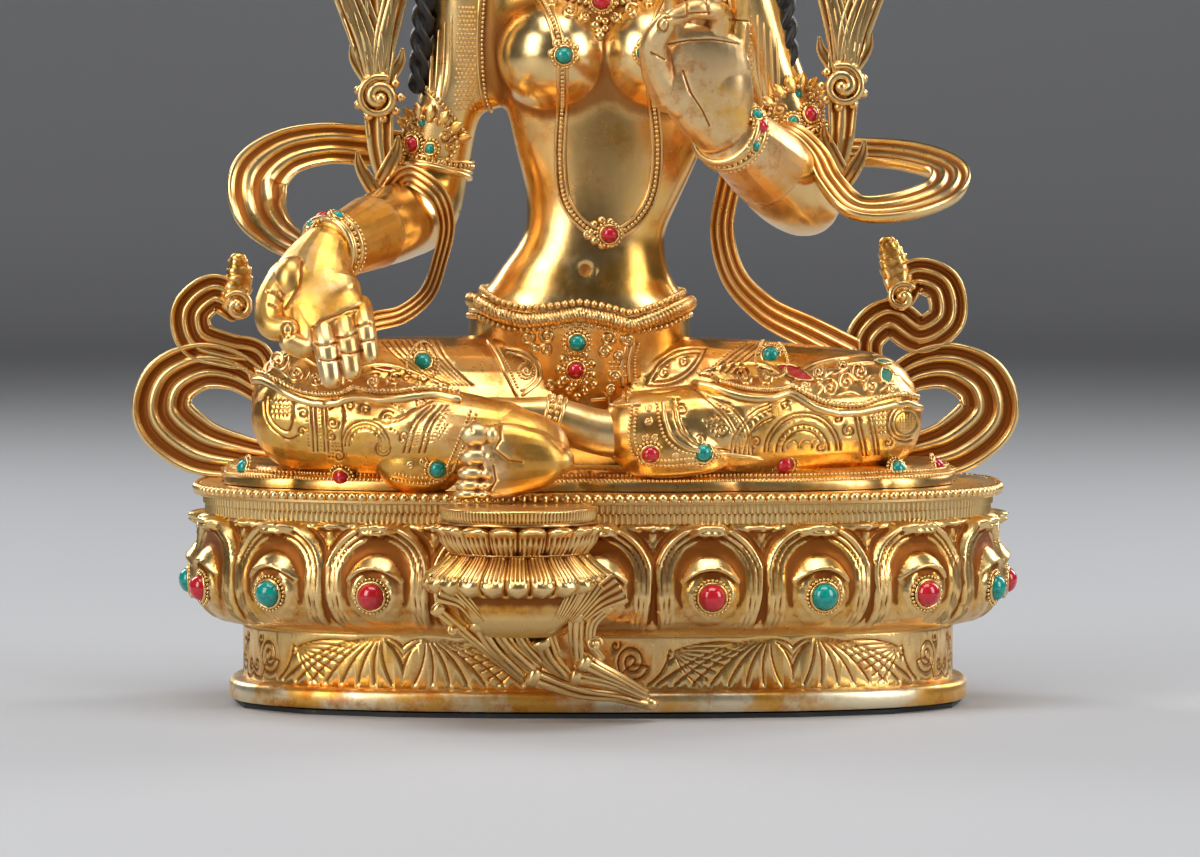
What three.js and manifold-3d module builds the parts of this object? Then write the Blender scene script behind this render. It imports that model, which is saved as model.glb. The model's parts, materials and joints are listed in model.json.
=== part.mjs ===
// A gilt seated tara figure on an oval lotus pedestal, with one foot on a small lotus of its own.
// Millimetres, +Z up, the figure faces -Y, and the origin is the centre of the underside.
// "Right" and "left" are the figure's own, so its right side is at -X.
import * as THREE from "three";
import { mergeVertices } from "three/addons/utils/BufferGeometryUtils.js";
import Module from "manifold-3d";

const wasm = await Module();
wasm.setup();

// Driving dimensions of the pedestal
const PLAN_HALF_WIDTH = 108; // at the fullest part of the petals
const PLAN_HALF_DEPTH = 66;
const PLAN_POWER = 2.7; // 2 is an ellipse, more is squarer
const PEDESTAL_HEIGHT = 58;
const PLATE_THICKNESS = 1.2; // the dark plate that closes the underside
const PLATE_INSET = 12;
const PETALS = 20;
const PETAL_SWELL = 4.6; // how far a petal stands out from the groove beside it
const GAP = 0.3; // between pieces that touch

// Driving dimensions of the small lotus under the foot
const FOOT_LOTUS_RADIUS = 20;
const FOOT_LOTUS_X = -20;
const FOOT_LOTUS_Y = -(PLAN_HALF_DEPTH + 10);
const FOOT_LOTUS_PETALS = 9;
const FOOT_LOTUS_TOP = PEDESTAL_HEIGHT - 2.2;

// The figure keeps its proportions: it is measured in parts, 262 from the seat to the topknot jewel
const FIGURE_HEIGHT = 262;
const PARTS_IN_HEIGHT = 262;
const PART = FIGURE_HEIGHT / PARTS_IN_HEIGHT;
const SEAT = PEDESTAL_HEIGHT + GAP;

// Cabochon radii
const PETAL_STONE = 3.3;
const HEM_STONE = 2.1;
const BELT_STONE = 2.0;
const BAND_STONE = 1.9;
const SMALL_STONE = 1.25;

const GILT = new THREE.MeshStandardMaterial({ color: 0xd9a441, roughness: 0.28, metalness: 1 });
const DARK_PLATE = new THREE.MeshStandardMaterial({ color: 0x1c1b1a, roughness: 0.7, metalness: 0.2 });
const CORAL = new THREE.MeshStandardMaterial({ color: 0xb3141f, roughness: 0.2, metalness: 0 });
const TURQUOISE = new THREE.MeshStandardMaterial({ color: 0x0a8f82, roughness: 0.25, metalness: 0 });

const vec = (x, y, z) => new THREE.Vector3(x, y, z);
const UP = vec(0, 0, 1);
const BACK = vec(0, 1, 0);
const lerp = THREE.MathUtils.lerp;

// A point of the figure, from its parts
const onFigure = ([x, y, z]) => vec(x * PART, y * PART, SEAT + z * PART);

// A geometry as a manifold solid, facing outwards
function solid(geometry) {
  const bare = new THREE.BufferGeometry().setAttribute("position", geometry.getAttribute("position"));
  if (geometry.index) bare.setIndex(geometry.index);
  const merged = mergeVertices(bare, 1e-4);
  const triVerts = new Uint32Array(merged.index.array);
  const vertProperties = new Float32Array(merged.attributes.position.array);
  const build = () => new wasm.Manifold(new wasm.Mesh({ numProp: 3, vertProperties, triVerts }));
  const made = build();
  if (made.volume() > 0) return made;
  for (let i = 0; i < triVerts.length; i += 3)
    [triVerts[i + 1], triVerts[i + 2]] = [triVerts[i + 2], triVerts[i + 1]];
  return build();
}

const joined = (solids) => solids.reduce((whole, one) => whole.add(one));
const mirrored = (made, x) => made.translate(-x, 0, 0).mirror([1, 0, 0]).translate(x, 0, 0);

function meshOf(name, made, material) {
  const { vertProperties, triVerts, numProp, numVert } = made.getMesh();
  const points = new Float32Array(numVert * 3);
  for (let i = 0; i < numVert; i++) points.set(vertProperties.subarray(i * numProp, i * numProp + 3), i * 3);
  const geometry = new THREE.BufferGeometry().setAttribute("position", new THREE.BufferAttribute(points, 3));
  geometry.setIndex(new THREE.BufferAttribute(triVerts, 1));
  const mesh = new THREE.Mesh(geometry, material);
  mesh.name = name;
  return mesh;
}

// A closed skin over rings of as many points each, with a fan on each end
function skin(rings) {
  const count = rings[0].length;
  const points = rings.flat();
  const faces = [];
  for (let row = 0; row + 1 < rings.length; row++)
    for (let i = 0; i < count; i++) {
      const a = row * count + i;
      const b = row * count + ((i + 1) % count);
      faces.push(a, b, b + count, a, b + count, a + count);
    }
  for (const [row, flip] of [[0, true], [rings.length - 1, false]]) {
    const middle = rings[row].reduce((sum, p) => sum.add(p), vec(0, 0, 0)).divideScalar(count);
    const hub = points.push(middle) - 1;
    for (let i = 0; i < count; i++) {
      const a = row * count + i;
      const b = row * count + ((i + 1) % count);
      faces.push(...(flip ? [b, a, hub] : [a, b, hub]));
    }
  }
  const geometry = new THREE.BufferGeometry().setFromPoints(points);
  geometry.setIndex(faces);
  return geometry;
}

const roundSection = (sides) =>
  Array.from({ length: sides }, (_, i) => {
    const turn = ((i + 0.5) / sides) * 2 * Math.PI;
    return [Math.cos(turn), Math.sin(turn)];
  });

// A scarf's section: flat behind, with a rolled edge on each side of a hollow
const FOLDED = [[-1, -1], [1, -1], [0.8, 1], [0, 0.1], [-0.8, 1]];

const BAND_STEP = 0.004;
const STEP_CLEAR = 0.03;

// A limb along stations of [x, y, z, half width, half thickness] in the figure's parts, or in millimetres
// where "place" says so. "up" is the way its thickness faces, and the ends can be rounded.
// A band is [from, to, proud]: the share of the stations between which the limb stands out.
function limb(
  stations,
  { sides = 8, steps, up = UP, grow = 0, section, round = [0, 0], place = onFigure, bands = [] } = {},
) {
  const unit = place === onFigure ? PART : 1;
  const path = new THREE.CatmullRomCurve3(stations.map((s) => place(s)), false, "centripetal");
  const outline = section ?? roundSection(sides);
  const last = stations.length - 1;
  const count = steps ?? last * 2;
  const rings = [];
  const ring = (t, shrink, shift, proud = 0) => {
    const low = Math.min(last - 1, Math.floor(t * last));
    const station = (row, k) => stations[row][k] ?? stations[row][3];
    const size = (k) => lerp(station(low, k), station(low + 1, k), t * last - low) * unit;
    const wide = (size(3) + grow + proud) * shrink;
    const thick = (size(4) + grow + proud) * shrink;
    const tangent = path.getTangent(t);
    const across = new THREE.Vector3().crossVectors(up, tangent).normalize();
    const lift = new THREE.Vector3().crossVectors(tangent, across);
    const middle = path.getPoint(t).addScaledVector(tangent, shift * Math.min(size(3), size(4)));
    const at = ([s, h]) => middle.clone().addScaledVector(across, s * wide).addScaledVector(lift, h * thick);
    rings.push(outline.map(at));
  };
  if (round[0]) ring(0, 0.6, -0.75 * round[0]);
  const shares = Array.from({ length: count + 1 }, (_, i) => [i / count, 0]).filter(([t]) =>
    bands.every(([from, to]) => t < from - STEP_CLEAR || t > to + STEP_CLEAR),
  );
  for (const [from, to, proud] of bands)
    shares.push([from, 0], [from + BAND_STEP, proud], [to - BAND_STEP, proud], [to, 0]);
  shares.sort((a, b) => a[0] - b[0]).forEach(([t, proud]) => ring(t, 1, 0, proud));
  if (round[1]) ring(1, 0.6, 0.75 * round[1]);
  return solid(skin(rings));
}

const ROUND_END = [0, 1];
const ROUND_BOTH = [1, 1];

function ellipsoid([x, y, z], [rx, ry, rz], across = 8, high = 5) {
  const geometry = new THREE.SphereGeometry(PART, across, high);
  geometry.rotateX(Math.PI / 2);
  geometry.scale(rx, ry, rz);
  geometry.translate(...onFigure([x, y, z]).toArray());
  return solid(geometry);
}

// A body built of rings of [z, x, y, half width, half depth, rise at the sides]
function levels(stations, sides) {
  const rings = stations.map(([z, x, y, wide, deep, rise = 0]) =>
    roundSection(sides).map(([c, s]) => onFigure([x + c * wide, y + s * deep, z + rise * Math.abs(c) ** 3])),
  );
  return solid(skin(rings));
}

// A flat leaf drawn in the XZ plane of the figure, pointed at the top
function pointedLeaf([x, y, z], wide, high, thick, turn = 0) {
  const shape = new THREE.Shape();
  shape.moveTo(-wide * 0.35, 0);
  shape.quadraticCurveTo(-wide * 0.75, high * 0.45, 0, high);
  shape.quadraticCurveTo(wide * 0.75, high * 0.45, wide * 0.35, 0);
  const geometry = new THREE.ExtrudeGeometry(shape, { depth: thick, bevelEnabled: false, curveSegments: 2 });
  geometry.translate(0, 0, -thick / 2);
  geometry.rotateX(Math.PI / 2);
  geometry.rotateZ(turn);
  geometry.scale(PART, PART, PART);
  geometry.translate(...onFigure([x, y, z]).toArray());
  return solid(geometry);
}

// Pedestal

// The plan's points are spaced evenly along its edge, so that every petal is as wide
const PLAN_SAMPLES = 1440;
function planPoint(turn, inset) {
  const bend = (v) => Math.sign(v) * Math.abs(v) ** (2 / PLAN_POWER);
  const wide = PLAN_HALF_WIDTH - inset;
  const deep = PLAN_HALF_DEPTH - inset;
  return [wide * bend(Math.sin(turn)), -deep * bend(Math.cos(turn))];
}
const planTurns = (() => {
  const lengths = [0];
  for (let i = 1; i <= PLAN_SAMPLES; i++) {
    const [x0, y0] = planPoint(((i - 1) / PLAN_SAMPLES) * 2 * Math.PI, 0);
    const [x1, y1] = planPoint((i / PLAN_SAMPLES) * 2 * Math.PI, 0);
    lengths.push(lengths[i - 1] + Math.hypot(x1 - x0, y1 - y0));
  }
  return lengths;
})();
function turnAtShare(share) {
  const wanted = (share - Math.floor(share)) * planTurns[PLAN_SAMPLES];
  let i = planTurns.findIndex((length) => length >= wanted);
  i = Math.max(1, i);
  const part = (wanted - planTurns[i - 1]) / (planTurns[i] - planTurns[i - 1]);
  return ((i - 1 + part) / PLAN_SAMPLES) * 2 * Math.PI;
}

// The pedestal's side as [inset from the fullest line, height, petal share, lip share], from the foot up.
// A petal's edge dips by the lip beside each groove, so that the petals end in arches.
const PEDESTAL_PROFILE = [
  [11.4, PLATE_THICKNESS + GAP, 0, 0],
  [11.1, 6.3, 0, 0],
  [14.4, 7.4, 0, 0],
  [14.8, 21, 0, 0],
  [5.4, 24.2, 0.7, 0],
  [1, 29, 1, 0],
  [0, 37, 1, 0],
  [2.6, 44, 0.9, 0.3],
  [1.4, 49.6, 0.7, 0.9],
  [5.2, 50.8, 0, 1],
  [5, 55, 0, 0],
  [1.9, 55.6, 0, 0],
  [1.9, PEDESTAL_HEIGHT, 0, 0],
];
const COLUMNS_PER_PETAL = 3; // one in the groove, two on the petal
const PETAL_LIP = 4;

function pedestal(grow) {
  const columns = PETALS * COLUMNS_PER_PETAL;
  const rings = PEDESTAL_PROFILE.map(([inset, height, petal, lip]) =>
    Array.from({ length: columns }, (_, i) => {
      const groove = i % COLUMNS_PER_PETAL === 0 ? 1 : 0;
      const along = turnAtShare((i / COLUMNS_PER_PETAL + 0.5) / PETALS);
      const [x, y] = planPoint(along, inset + PETAL_SWELL * petal * groove - grow);
      const level = height - PETAL_LIP * lip * groove;
      return vec(x, y, level + (height === PEDESTAL_HEIGHT ? grow : 0));
    }),
  );
  return solid(skin(rings));
}

function closingPlate() {
  const shape = new THREE.Shape();
  const sides = 20;
  for (let i = 0; i < sides; i++) {
    const [x, y] = planPoint(turnAtShare(i / sides), PLATE_INSET);
    if (i) shape.lineTo(x, y);
    else shape.moveTo(x, y);
  }
  shape.closePath();
  return solid(new THREE.ExtrudeGeometry(shape, { depth: PLATE_THICKNESS, bevelEnabled: false }));
}

// The small lotus that carries the right foot, and the stem that runs down the pedestal to its rim
function footLotus() {
  const r = FOOT_LOTUS_RADIUS;
  const columns = FOOT_LOTUS_PETALS * 2;
  const drop = FOOT_LOTUS_TOP;
  // radius share, height share, petal share, sideways shift of the leafy bracket below the rings
  const profile = [
    [0.28, 0.11, 0, 0.55],
    [0.5, 0.2, 0, 0.42],
    [0.74, 0.33, 0, 0.2],
    [0.98, 0.47, 0, 0.02],
    [1.06, 0.57, 0, 0],
    [1.3, 0.62, 0.12, 0],
    [1.16, 0.7, 0.1, 0],
    [0.86, 0.79, 0, 0],
    [1.08, 0.9, 0.08, 0],
    [0.98, 0.93, 0, 0],
    [1.0, 1.0, 0, 0],
  ];
  const rings = profile.map(([radius, height, petal, shift]) =>
    Array.from({ length: columns }, (_, i) => {
      const turn = (i / columns) * 2 * Math.PI;
      const reach = r * (radius - (i % 2 ? petal : 0));
      return vec(
        FOOT_LOTUS_X + r * shift + reach * Math.cos(turn),
        FOOT_LOTUS_Y + r * shift * 0.5 + reach * Math.sin(turn) * lerp(1, 0.75, shift * 2),
        drop * height,
      );
    }),
  );
  const here = (s) => vec(FOOT_LOTUS_X + s[0] * r, FOOT_LOTUS_Y + s[1] * r, s[2] * drop);
  const stem = (from, through, to, thick) =>
    limb([[...from, thick], [...through, thick * 0.8], [...to, thick * 0.55]], {
      sides: 5,
      steps: 3,
      round: ROUND_END,
      place: here,
    });
  return joined([
    solid(skin(rings)),
    stem([0.5, 0.3, 0.16], [1.15, 0.62, 0.11], [1.78, 0.72, 0.062], 3.9),
    stem([-0.95, -0.2, 0.46], [-0.35, 0.1, 0.27], [0.45, 0.35, 0.15], 3.0),
  ]);
}

// Figure

const TORSO = [
  [1, -3, 15, 27, 18],
  [10, -3, 15, 35.6, 25],
  [24, -3.6, 11.6, 35, 24.6],
  [34, -5, 7.4, 30.4, 20.6],
  [41, -5, 5.4, 31, 21.4, 3.4],
  [48.4, -5, 4.6, 30.8, 20.8, 3.6],
  [49, -4.6, 4.2, 27.4, 18.4, 3.4],
  [56, -3.4, 2.8, 22.6, 16],
  [64, -1.2, 2.2, 18.8, 14.2],
  [73, 1.2, 2.4, 20.1, 14.2],
  [90, 2.9, 2.9, 25.6, 15.2],
  [112, 1.8, 3.6, 29.5, 16],
  [128, 1.6, 4.4, 33, 15.6],
  [138, 1.6, 5, 36, 14],
  [147, 1.6, 5.4, 29, 12.4],
  [155, 1.6, 4.4, 13, 10.8],
  [165, 1.6, 2.6, 9.8, 9.8],
  [178, 1.6, 1.5, 10.4, 11],
];
const HEAD = [
  [170.5, 1.6, -6.5, 6.5, 6],
  [175, 1.6, -4, 11.4, 11.6],
  [182, 1.6, -1.6, 15, 16],
  [191, 1.6, 0.6, 17, 18.8],
  [204, 1.6, 2, 17.8, 20],
  [216, 1.6, 2.6, 17.6, 19.8],
  [228, 1.6, 4, 12, 14],
];
const RIGHT_ARM = [
  [-29, 5.6, 142.4, 9],
  [-33.4, 6.8, 129, 9.8],
  [-35.6, 8, 110.6, 8.8],
  [-40.3, 9.5, 95, 8.9],
  [-43, 11, 81.7, 9.2],
  [-46, 8, 71, 9.8],
  [-52, -6, 68, 10.4],
  [-58.5, -22, 65.6, 9.8],
  [-65, -33, 62.8, 8.4],
  [-70, -40, 61.4, 7.6],
];
const LEFT_ARM = [
  [32.2, 5.6, 142.4, 9],
  [38.2, 6.8, 129, 9.8],
  [44, 8, 111, 8.8],
  [49.5, 9, 96, 8.9],
  [54, 9, 83, 9.2],
  [56, 5, 74, 9.8],
  [51, -8, 76, 10.8],
  [43.5, -24, 83, 10.8],
  [36.6, -39, 89, 9.4],
  [32.4, -46, 92.6, 8.6],
];
const RIGHT_PALM = [
  [-70, -40, 61.4, 7.6, 6.4],
  [-72.6, -44.5, 57.4, 10.2, 5.4],
  [-74, -49.5, 51.5, 12.6, 4.8],
  [-72, -54, 45.8, 12.3, 4.2],
  [-68.4, -57, 42, 11.2, 3.5],
];
const LEFT_PALM = [
  [32.4, -46, 92.6, 8.6, 6.6],
  [29.6, -49, 98.5, 11, 5.6],
  [27, -51.5, 106, 12.4, 4.8],
  [27.4, -53, 112, 11.4, 3.9],
  [28.4, -53.5, 116, 10, 3.3],
];
const RIGHT_FINGERS = {
  middle: [[-70.6, -55, 44, 3.3], [-69.2, -60.5, 37.5, 3.1], [-67.8, -63, 29.4, 2.6]],
  ring: [[-65.4, -55, 45.5, 3.2], [-64, -60.5, 39, 2.9], [-62.6, -63, 31.4, 2.5]],
  little: [[-60.6, -54, 47.4, 2.8], [-59.2, -58.8, 41.6, 2.6], [-58, -60.6, 35, 2.2]],
  index: [[-76, -53.5, 45.5, 3.3], [-75.2, -59.5, 37.4, 3.1], [-78.4, -61.4, 38.4, 2.6]],
  thumb: [[-80, -46, 54, 4.8], [-83.6, -51, 47.5, 4.1], [-83, -56.5, 42.4, 3.4],
    [-79, -59.5, 41.6, 2.8]],
};
const LEFT_FINGERS = {
  index: [[21.4, -52.5, 113, 3], [19.8, -53.4, 123, 2.8], [19.6, -56.5, 131.4, 2.3]],
  middle: [[26, -52.5, 115, 3], [25.6, -53, 127, 2.8], [25.4, -56.4, 136.4, 2.3]],
  ring: [[30.6, -52.5, 115, 3.1], [30.8, -56.4, 122, 2.9], [25, -60.6, 123, 2.6], [19.4, -61.4, 121, 2.2]],
  little: [[35.4, -52, 112, 2.8], [36.2, -53, 121, 2.5], [36.6, -55.4, 128.6, 2.1]],
  thumb: [[18.4, -50, 101.5, 5], [14.8, -54.5, 108.6, 3.9], [14.4, -58.4, 115, 3.3],
    [17.2, -60.4, 119.6, 2.7]],
};
const RIGHT_THIGH = [[-14, 8, 19, 18.5], [-38, -5, 20.5, 17.6], [-60, -19, 21.5, 16.6],
  [-74, -29, 21.6, 15.8]];
const RIGHT_SHANK = [[-75, -33, 18, 14.6], [-56, -43, 15.6, 13], [-38, -51, 15, 11], [-24, -56.5, 14.6, 8.6]];
const LEFT_THIGH = [[8, 8, 19, 18.5], [32, -1, 20.4, 17], [54, -11, 20.6, 15.4], [69, -18, 20, 14.6]];
const LEFT_SHANK = [[70, -24, 17, 14.2], [50, -36, 16, 13.8], [30, -44, 15.4, 12.4], [11, -48.5, 15.2, 10.4]];
const LEFT_ANKLE = [
  [14, -47, 14.6, 7.4],
  [1, -50.5, 14.9, 6],
  [-12.4, -51.4, 19, 5.2],
  [-20.7, -52, 20.8, 5, 3.2],
  [-27.4, -53, 22, 4, 2.2],
];
const RIGHT_FOOT = [
  [-24, -57, 14.6, 8, 8],
  [-15, -62.4, 12.8, 7.2, 6.6],
  [-13, -68.4, 9.6, 6, 5.6],
];
const RIGHT_SOLE = [
  [-13.2, -69.8, 8.9, 5.4, 5.6],
  [-17, -70.4, 9.2, 7.6, 5.4],
  [-24, -71, 8.6, 9.4, 4.8],
  [-31, -71.4, 8.5, 9.4, 4],
];
// Each toe's height, radius and how far it reaches
const TOES = [[15.4, 3.2, -34.8], [10.2, 2.5, -35.4], [6, 2.2, -35.8], [2.9, 1.9, -36.4], [0.9, 1.6, -36.6]];

// Bands as the shares of the limb between which they stand out, and how far
const RIGHT_ARMLET = [0.355, 0.425, 1.4];
const LEFT_ARMLET = [0.312, 0.382, 1.4];
const BRACELET = [0.95, 0.99, 1.3];
const ANKLET = [0.44, 0.54, 0.9];
const arm = ([stations, armlet], grow = 0) =>
  limb(stations, { sides: 6, steps: 6, up: BACK, round: [0.8, 0], bands: [armlet, BRACELET], grow });
const RIGHT = [RIGHT_ARM, RIGHT_ARMLET];
const LEFT = [LEFT_ARM, LEFT_ARMLET];
const thigh = (stations, grow = 0) => limb(stations, { sides: 8, steps: 3, round: ROUND_BOTH, grow });
const FACING = vec(0, -1, 0);

function hand(palm, fingers, facing) {
  return [
    limb(palm, { sides: 6, steps: 4, up: facing }),
    ...Object.values(fingers).map((stations) =>
      limb(stations, { sides: 5, steps: stations.length - 1, up: facing, round: ROUND_END }),
    ),
  ];
}

function legs() {
  const shank = (stations) => limb(stations, { sides: 8, steps: 3, round: ROUND_BOTH });
  const toe = ([z, r, reach]) =>
    limb([[-29, -71.6, z, r], [reach, -72, z, r * 0.92]],
      { sides: 4, steps: 1, up: FACING, round: ROUND_END });
  return [
    thigh(RIGHT_THIGH),
    thigh(LEFT_THIGH),
    shank(RIGHT_SHANK),
    shank(LEFT_SHANK),
    limb(LEFT_ANKLE, { sides: 7, steps: 2, round: ROUND_BOTH, bands: [ANKLET] }),
    limb(RIGHT_FOOT, { sides: 7, steps: 2, round: ROUND_BOTH }),
    limb(RIGHT_SOLE, { sides: 7, steps: 2, up: FACING, round: ROUND_BOTH }),
    ...TOES.map(toe),
    // the cloth ends that fall to the seat on either side of the bare ankle
    ellipsoid([20, -50, 8], [15, 9.5, 10.5], 8, 4),
    ellipsoid([-45, -50, 7], [12, 8, 8.5], 7, 4),
  ];
}

// The skirt's hem lies on the pedestal as a low bank of cloth with a scalloped edge
const HEM_INSET = 11;
const HEM_SCALLOPS = 13;
const HEM_SCALLOP_DEPTH = 2;
const HEM_THICKNESS = 5.2;
const HEM_SLOPE = 4;
const HEM_SHIFT = -2.5;
function hemBank(grow = 0) {
  const perScallop = 2;
  const count = HEM_SCALLOPS * perScallop;
  const edge = (inset, height) =>
    Array.from({ length: count }, (_, i) => {
      const dip = i % perScallop ? 0 : HEM_SCALLOP_DEPTH;
      const [x, y] = planPoint(turnAtShare(i / count), HEM_INSET + inset + dip - grow);
      return vec(x + HEM_SHIFT, y, SEAT + height + (height ? grow : 0));
    });
  return solid(skin([edge(0, 0), edge(HEM_SLOPE, HEM_THICKNESS)]));
}

function ornaments() {
  return [
    // the jewelled flower below the belt
    ellipsoid([-5.4, -12.4, 37], [11, 3.6, 4.4], 8, 4),
    ellipsoid([-5.4, -12.6, 30], [6.6, 3.4, 6.4], 8, 4),
    // the drop of the long chain, and the flower on each breast
    ellipsoid([3, -11.4, 65], [4.4, 2.4, 3.8], 6, 4),
    ellipsoid([-8.8, -21.6, 111], [3.6, 2.2, 3.8], 6, 4),
    ellipsoid([12.4, -21.6, 111.6], [3.6, 2.2, 3.8], 6, 4),
    // the collar's front
    ellipsoid([1.6, -13.2, 123.5], [8.5, 3.4, 7.4], 7, 4),
  ];
}

const HEAD_X = 1.6;
function head() {
  const face = HEAD_X;
  return [
    levels(HEAD, 10),
    // nose, lips, chin, lids and brows, on the canon of thirds
    limb([[face, -17.6, 201.5, 1.5], [face, -19.6, 194, 1.9], [face, -20.2, 189.4, 2.9]],
      { sides: 5, steps: 2, up: BACK, round: ROUND_END }),
    ellipsoid([face, -16.4, 183.8], [4.6, 2.2, 1.9], 6, 4),
    ellipsoid([face, -13.8, 176.4], [4.2, 3, 3.2], 6, 4),
    ellipsoid([face - 7, -15.2, 198], [4.2, 2.4, 2], 6, 4),
    ellipsoid([face + 7, -15.2, 198], [4.2, 2.4, 2], 6, 4),
    // long ears with round earrings
    ...[-1, 1].flatMap((side) => [
      limb([[face + side * 17.8, 3.5, 202, 3.4, 1.6], [face + side * 18.6, 3.5, 192, 2.6, 1.5],
        [face + side * 17.8, 2.6, 179, 2.2, 1.6]], { sides: 4, steps: 2, up: vec(side, 0, 0) }),
      ellipsoid([face + side * 18.4, 1.6, 175], [2.6, 5.4, 5.4], 6, 4),
    ]),
    // hair: a cap drawn up into a banded topknot with a jewel
    levels([[207, face, 3.6, 18.6, 20.4], [211.5, face, 2.8, 20, 22.2],
      [217.5, face, 2.8, 20, 22.2], [228, face, 4.8, 13, 14.4],
      [234, face, 5.4, 8.8, 9], [239, face, 5.4, 10.4, 10.4], [249, face, 5.4, 6.4, 6.4],
      [253, face, 5.4, 2.4, 2.4], [256.4, face, 5.4, 3.2, 3.2], [262, face, 5.4, 0.5, 0.5]], 8),
    // hair down the back
    limb([[face, 20.5, 208, 14, 5.5], [face, 19.5, 182, 13, 6], [face, 19, 158, 15, 5.4],
      [face, 19.4, 132, 12, 4.4], [face, 18.6, 112, 6, 3.4]],
      { sides: 4, steps: 4, up: BACK, round: ROUND_END }),
    // a lock over each shoulder and down the arm
    ...[-1, 1].map((side) =>
      limb([[face + side * 14, 14, 176, 4], [face + side * 22, 12, 160, 4],
        [face + side * 35, 6, 152, 3.9], [face + side * 44.6, 4.5, 140, 3.6],
        [face + side * 47.4, 4.6, 122, 3.3], [face + side * 49, 4.8, 104, 2.7]],
      { sides: 4, steps: 5, up: BACK, round: ROUND_END })),
  ];
}

// Five leaves of [degrees round, height, width] stand on the circlet, tall in front and lower to the sides
const CROWN_LEAVES = [[0, 27, 15], [-46, 22, 13], [46, 22, 13], [-90, 17, 11], [90, 17, 11]];
const CROWN_HEIGHT = 213;
const CROWN_HALF_WIDTH = 18.8;
const CROWN_HALF_DEPTH = 21;
const LEAF_THICKNESS = 2.4;
function crown() {
  return CROWN_LEAVES.map(([degrees, high, across]) => {
    const turn = THREE.MathUtils.degToRad(degrees);
    const x = HEAD_X + CROWN_HALF_WIDTH * Math.sin(turn);
    const y = 2.8 - CROWN_HALF_DEPTH * Math.cos(turn);
    return pointedLeaf([x, y, CROWN_HEIGHT], across, high, LEAF_THICKNESS, turn);
  });
}

// Scarves: a loop beside each arm, a fold over each forearm, and the ends that fall to the thighs
const RIGHT_LOOP = [
  [-50, 9, 86.5, 4.6, 1.6], [-62.7, 7, 88, 5, 1.7], [-72, 5, 88.4, 5.2, 1.8],
  [-82.6, 3, 85.8, 6, 1.9], [-89, 0, 79.6, 7.4, 1.9], [-88.6, -5, 72, 7, 1.9],
  [-83.6, -16, 65.4, 4.8, 1.8], [-76.5, -27, 61.4, 3.4, 1.6],
];
const RIGHT_FALL = [
  [-55.5, 4, 75, 2.2, 1.4], [-49, -9, 80, 2.6, 1.6], [-42, -12.4, 75, 2.5, 1.6],
  [-39.6, -10, 67.4, 2.1, 1.5], [-41.4, -8.8, 58, 1.9, 1.4], [-44.6, -9.6, 49.4, 2, 1.4],
  [-51, -13, 44, 2.3, 1.5], [-59, -17.4, 42, 2.5, 1.5], [-65, -21, 38.8, 2.6, 1.5],
];
const LEFT_LOOP = [
  [57, 12, 85.4, 4.6, 1.7], [70, 9, 85.8, 5, 1.8], [82.6, 2, 84.6, 5.6, 1.9],
  [91.6, -8, 81, 5.2, 1.9], [89.4, -19, 76, 4.6, 1.9], [78, -26, 72, 4.4, 1.8],
  [67, -27, 72, 4, 1.7], [60.4, -22.4, 78.4, 3.4, 1.6], [56.4, -17, 86, 3, 1.6],
  [50, -13, 91.6, 2.8, 1.6], [44.6, -6, 91, 2.6, 1.5],
];
const LEFT_FALL = [
  [38, 13, 88, 3, 1.5], [34.4, 12, 76, 2.9, 1.5], [32.8, 11, 65, 3, 1.5], [36, 9, 53, 3.2, 1.5],
  [44, 6, 44.6, 3.6, 1.6], [56, 1, 38.4, 4.2, 1.6], [66.5, -4, 33, 4.4, 1.6],
];

const scarf = (stations, up, grow = 0) =>
  limb(stations, { section: FOLDED, up, steps: stations.length - 1, grow });
const scarves = () => [
  scarf(RIGHT_LOOP, FACING),
  scarf(RIGHT_FALL, FACING),
  scarf(LEFT_LOOP, vec(0.1, -0.55, 0.83)),
  scarf(LEFT_FALL, FACING),
];

function figure() {
  return joined([
    levels(TORSO, 10),
    ellipsoid([-10.4, -7.6, 111], [13.4, 14.6, 13.2], 8, 6),
    ellipsoid([14.2, -7.6, 111.4], [13.4, 14.6, 13.2], 8, 6),
    arm(RIGHT),
    arm(LEFT),
    ...hand(RIGHT_PALM, RIGHT_FINGERS, vec(-0.35, -0.8, 0.5)),
    ...hand(LEFT_PALM, LEFT_FINGERS, FACING),
    ...legs(),
    hemBank(),
    ...head(),
    ...crown(),
    ...ornaments(),
    ...scarves(),
  ]);
}

// Scrolls that rise behind each knee: cast apart, and set on the hem
const SCROLL_MIRROR = -6;
const BIG_SCROLL = [
  [-80, 11, 4, 3.6, 2], [-95, 15, 5.4, 5.4, 2.4], [-107, 17, 8.4, 7.2, 2.6], [-115.6, 18, 16.4, 7.6, 2.7],
  [-114, 18, 24.4, 7, 2.7], [-106, 18, 29, 6, 2.6], [-97, 18, 28, 5, 2.5], [-88.4, 17, 22.6, 3.6, 2.2],
];
const RIGHT_UPPER = [
  [-88, 17, 24, 3.4, 2], [-91, 18, 31.5, 4.2, 2.2], [-98.6, 18, 33.4, 4.4, 2.3], [-106.8, 18, 36.6, 5, 2.3],
  [-108, 18, 43.6, 5, 2.3], [-101.8, 18, 48.6, 4.8, 2.2], [-95.6, 18, 45, 4.2, 2.1],
];
const RIGHT_BUD = [[-97.4, 18, 45, 3.4, 2.2], [-95.4, 18, 52, 4, 2.4], [-95.6, 18, 57.6, 2.6, 1.8]];
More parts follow.
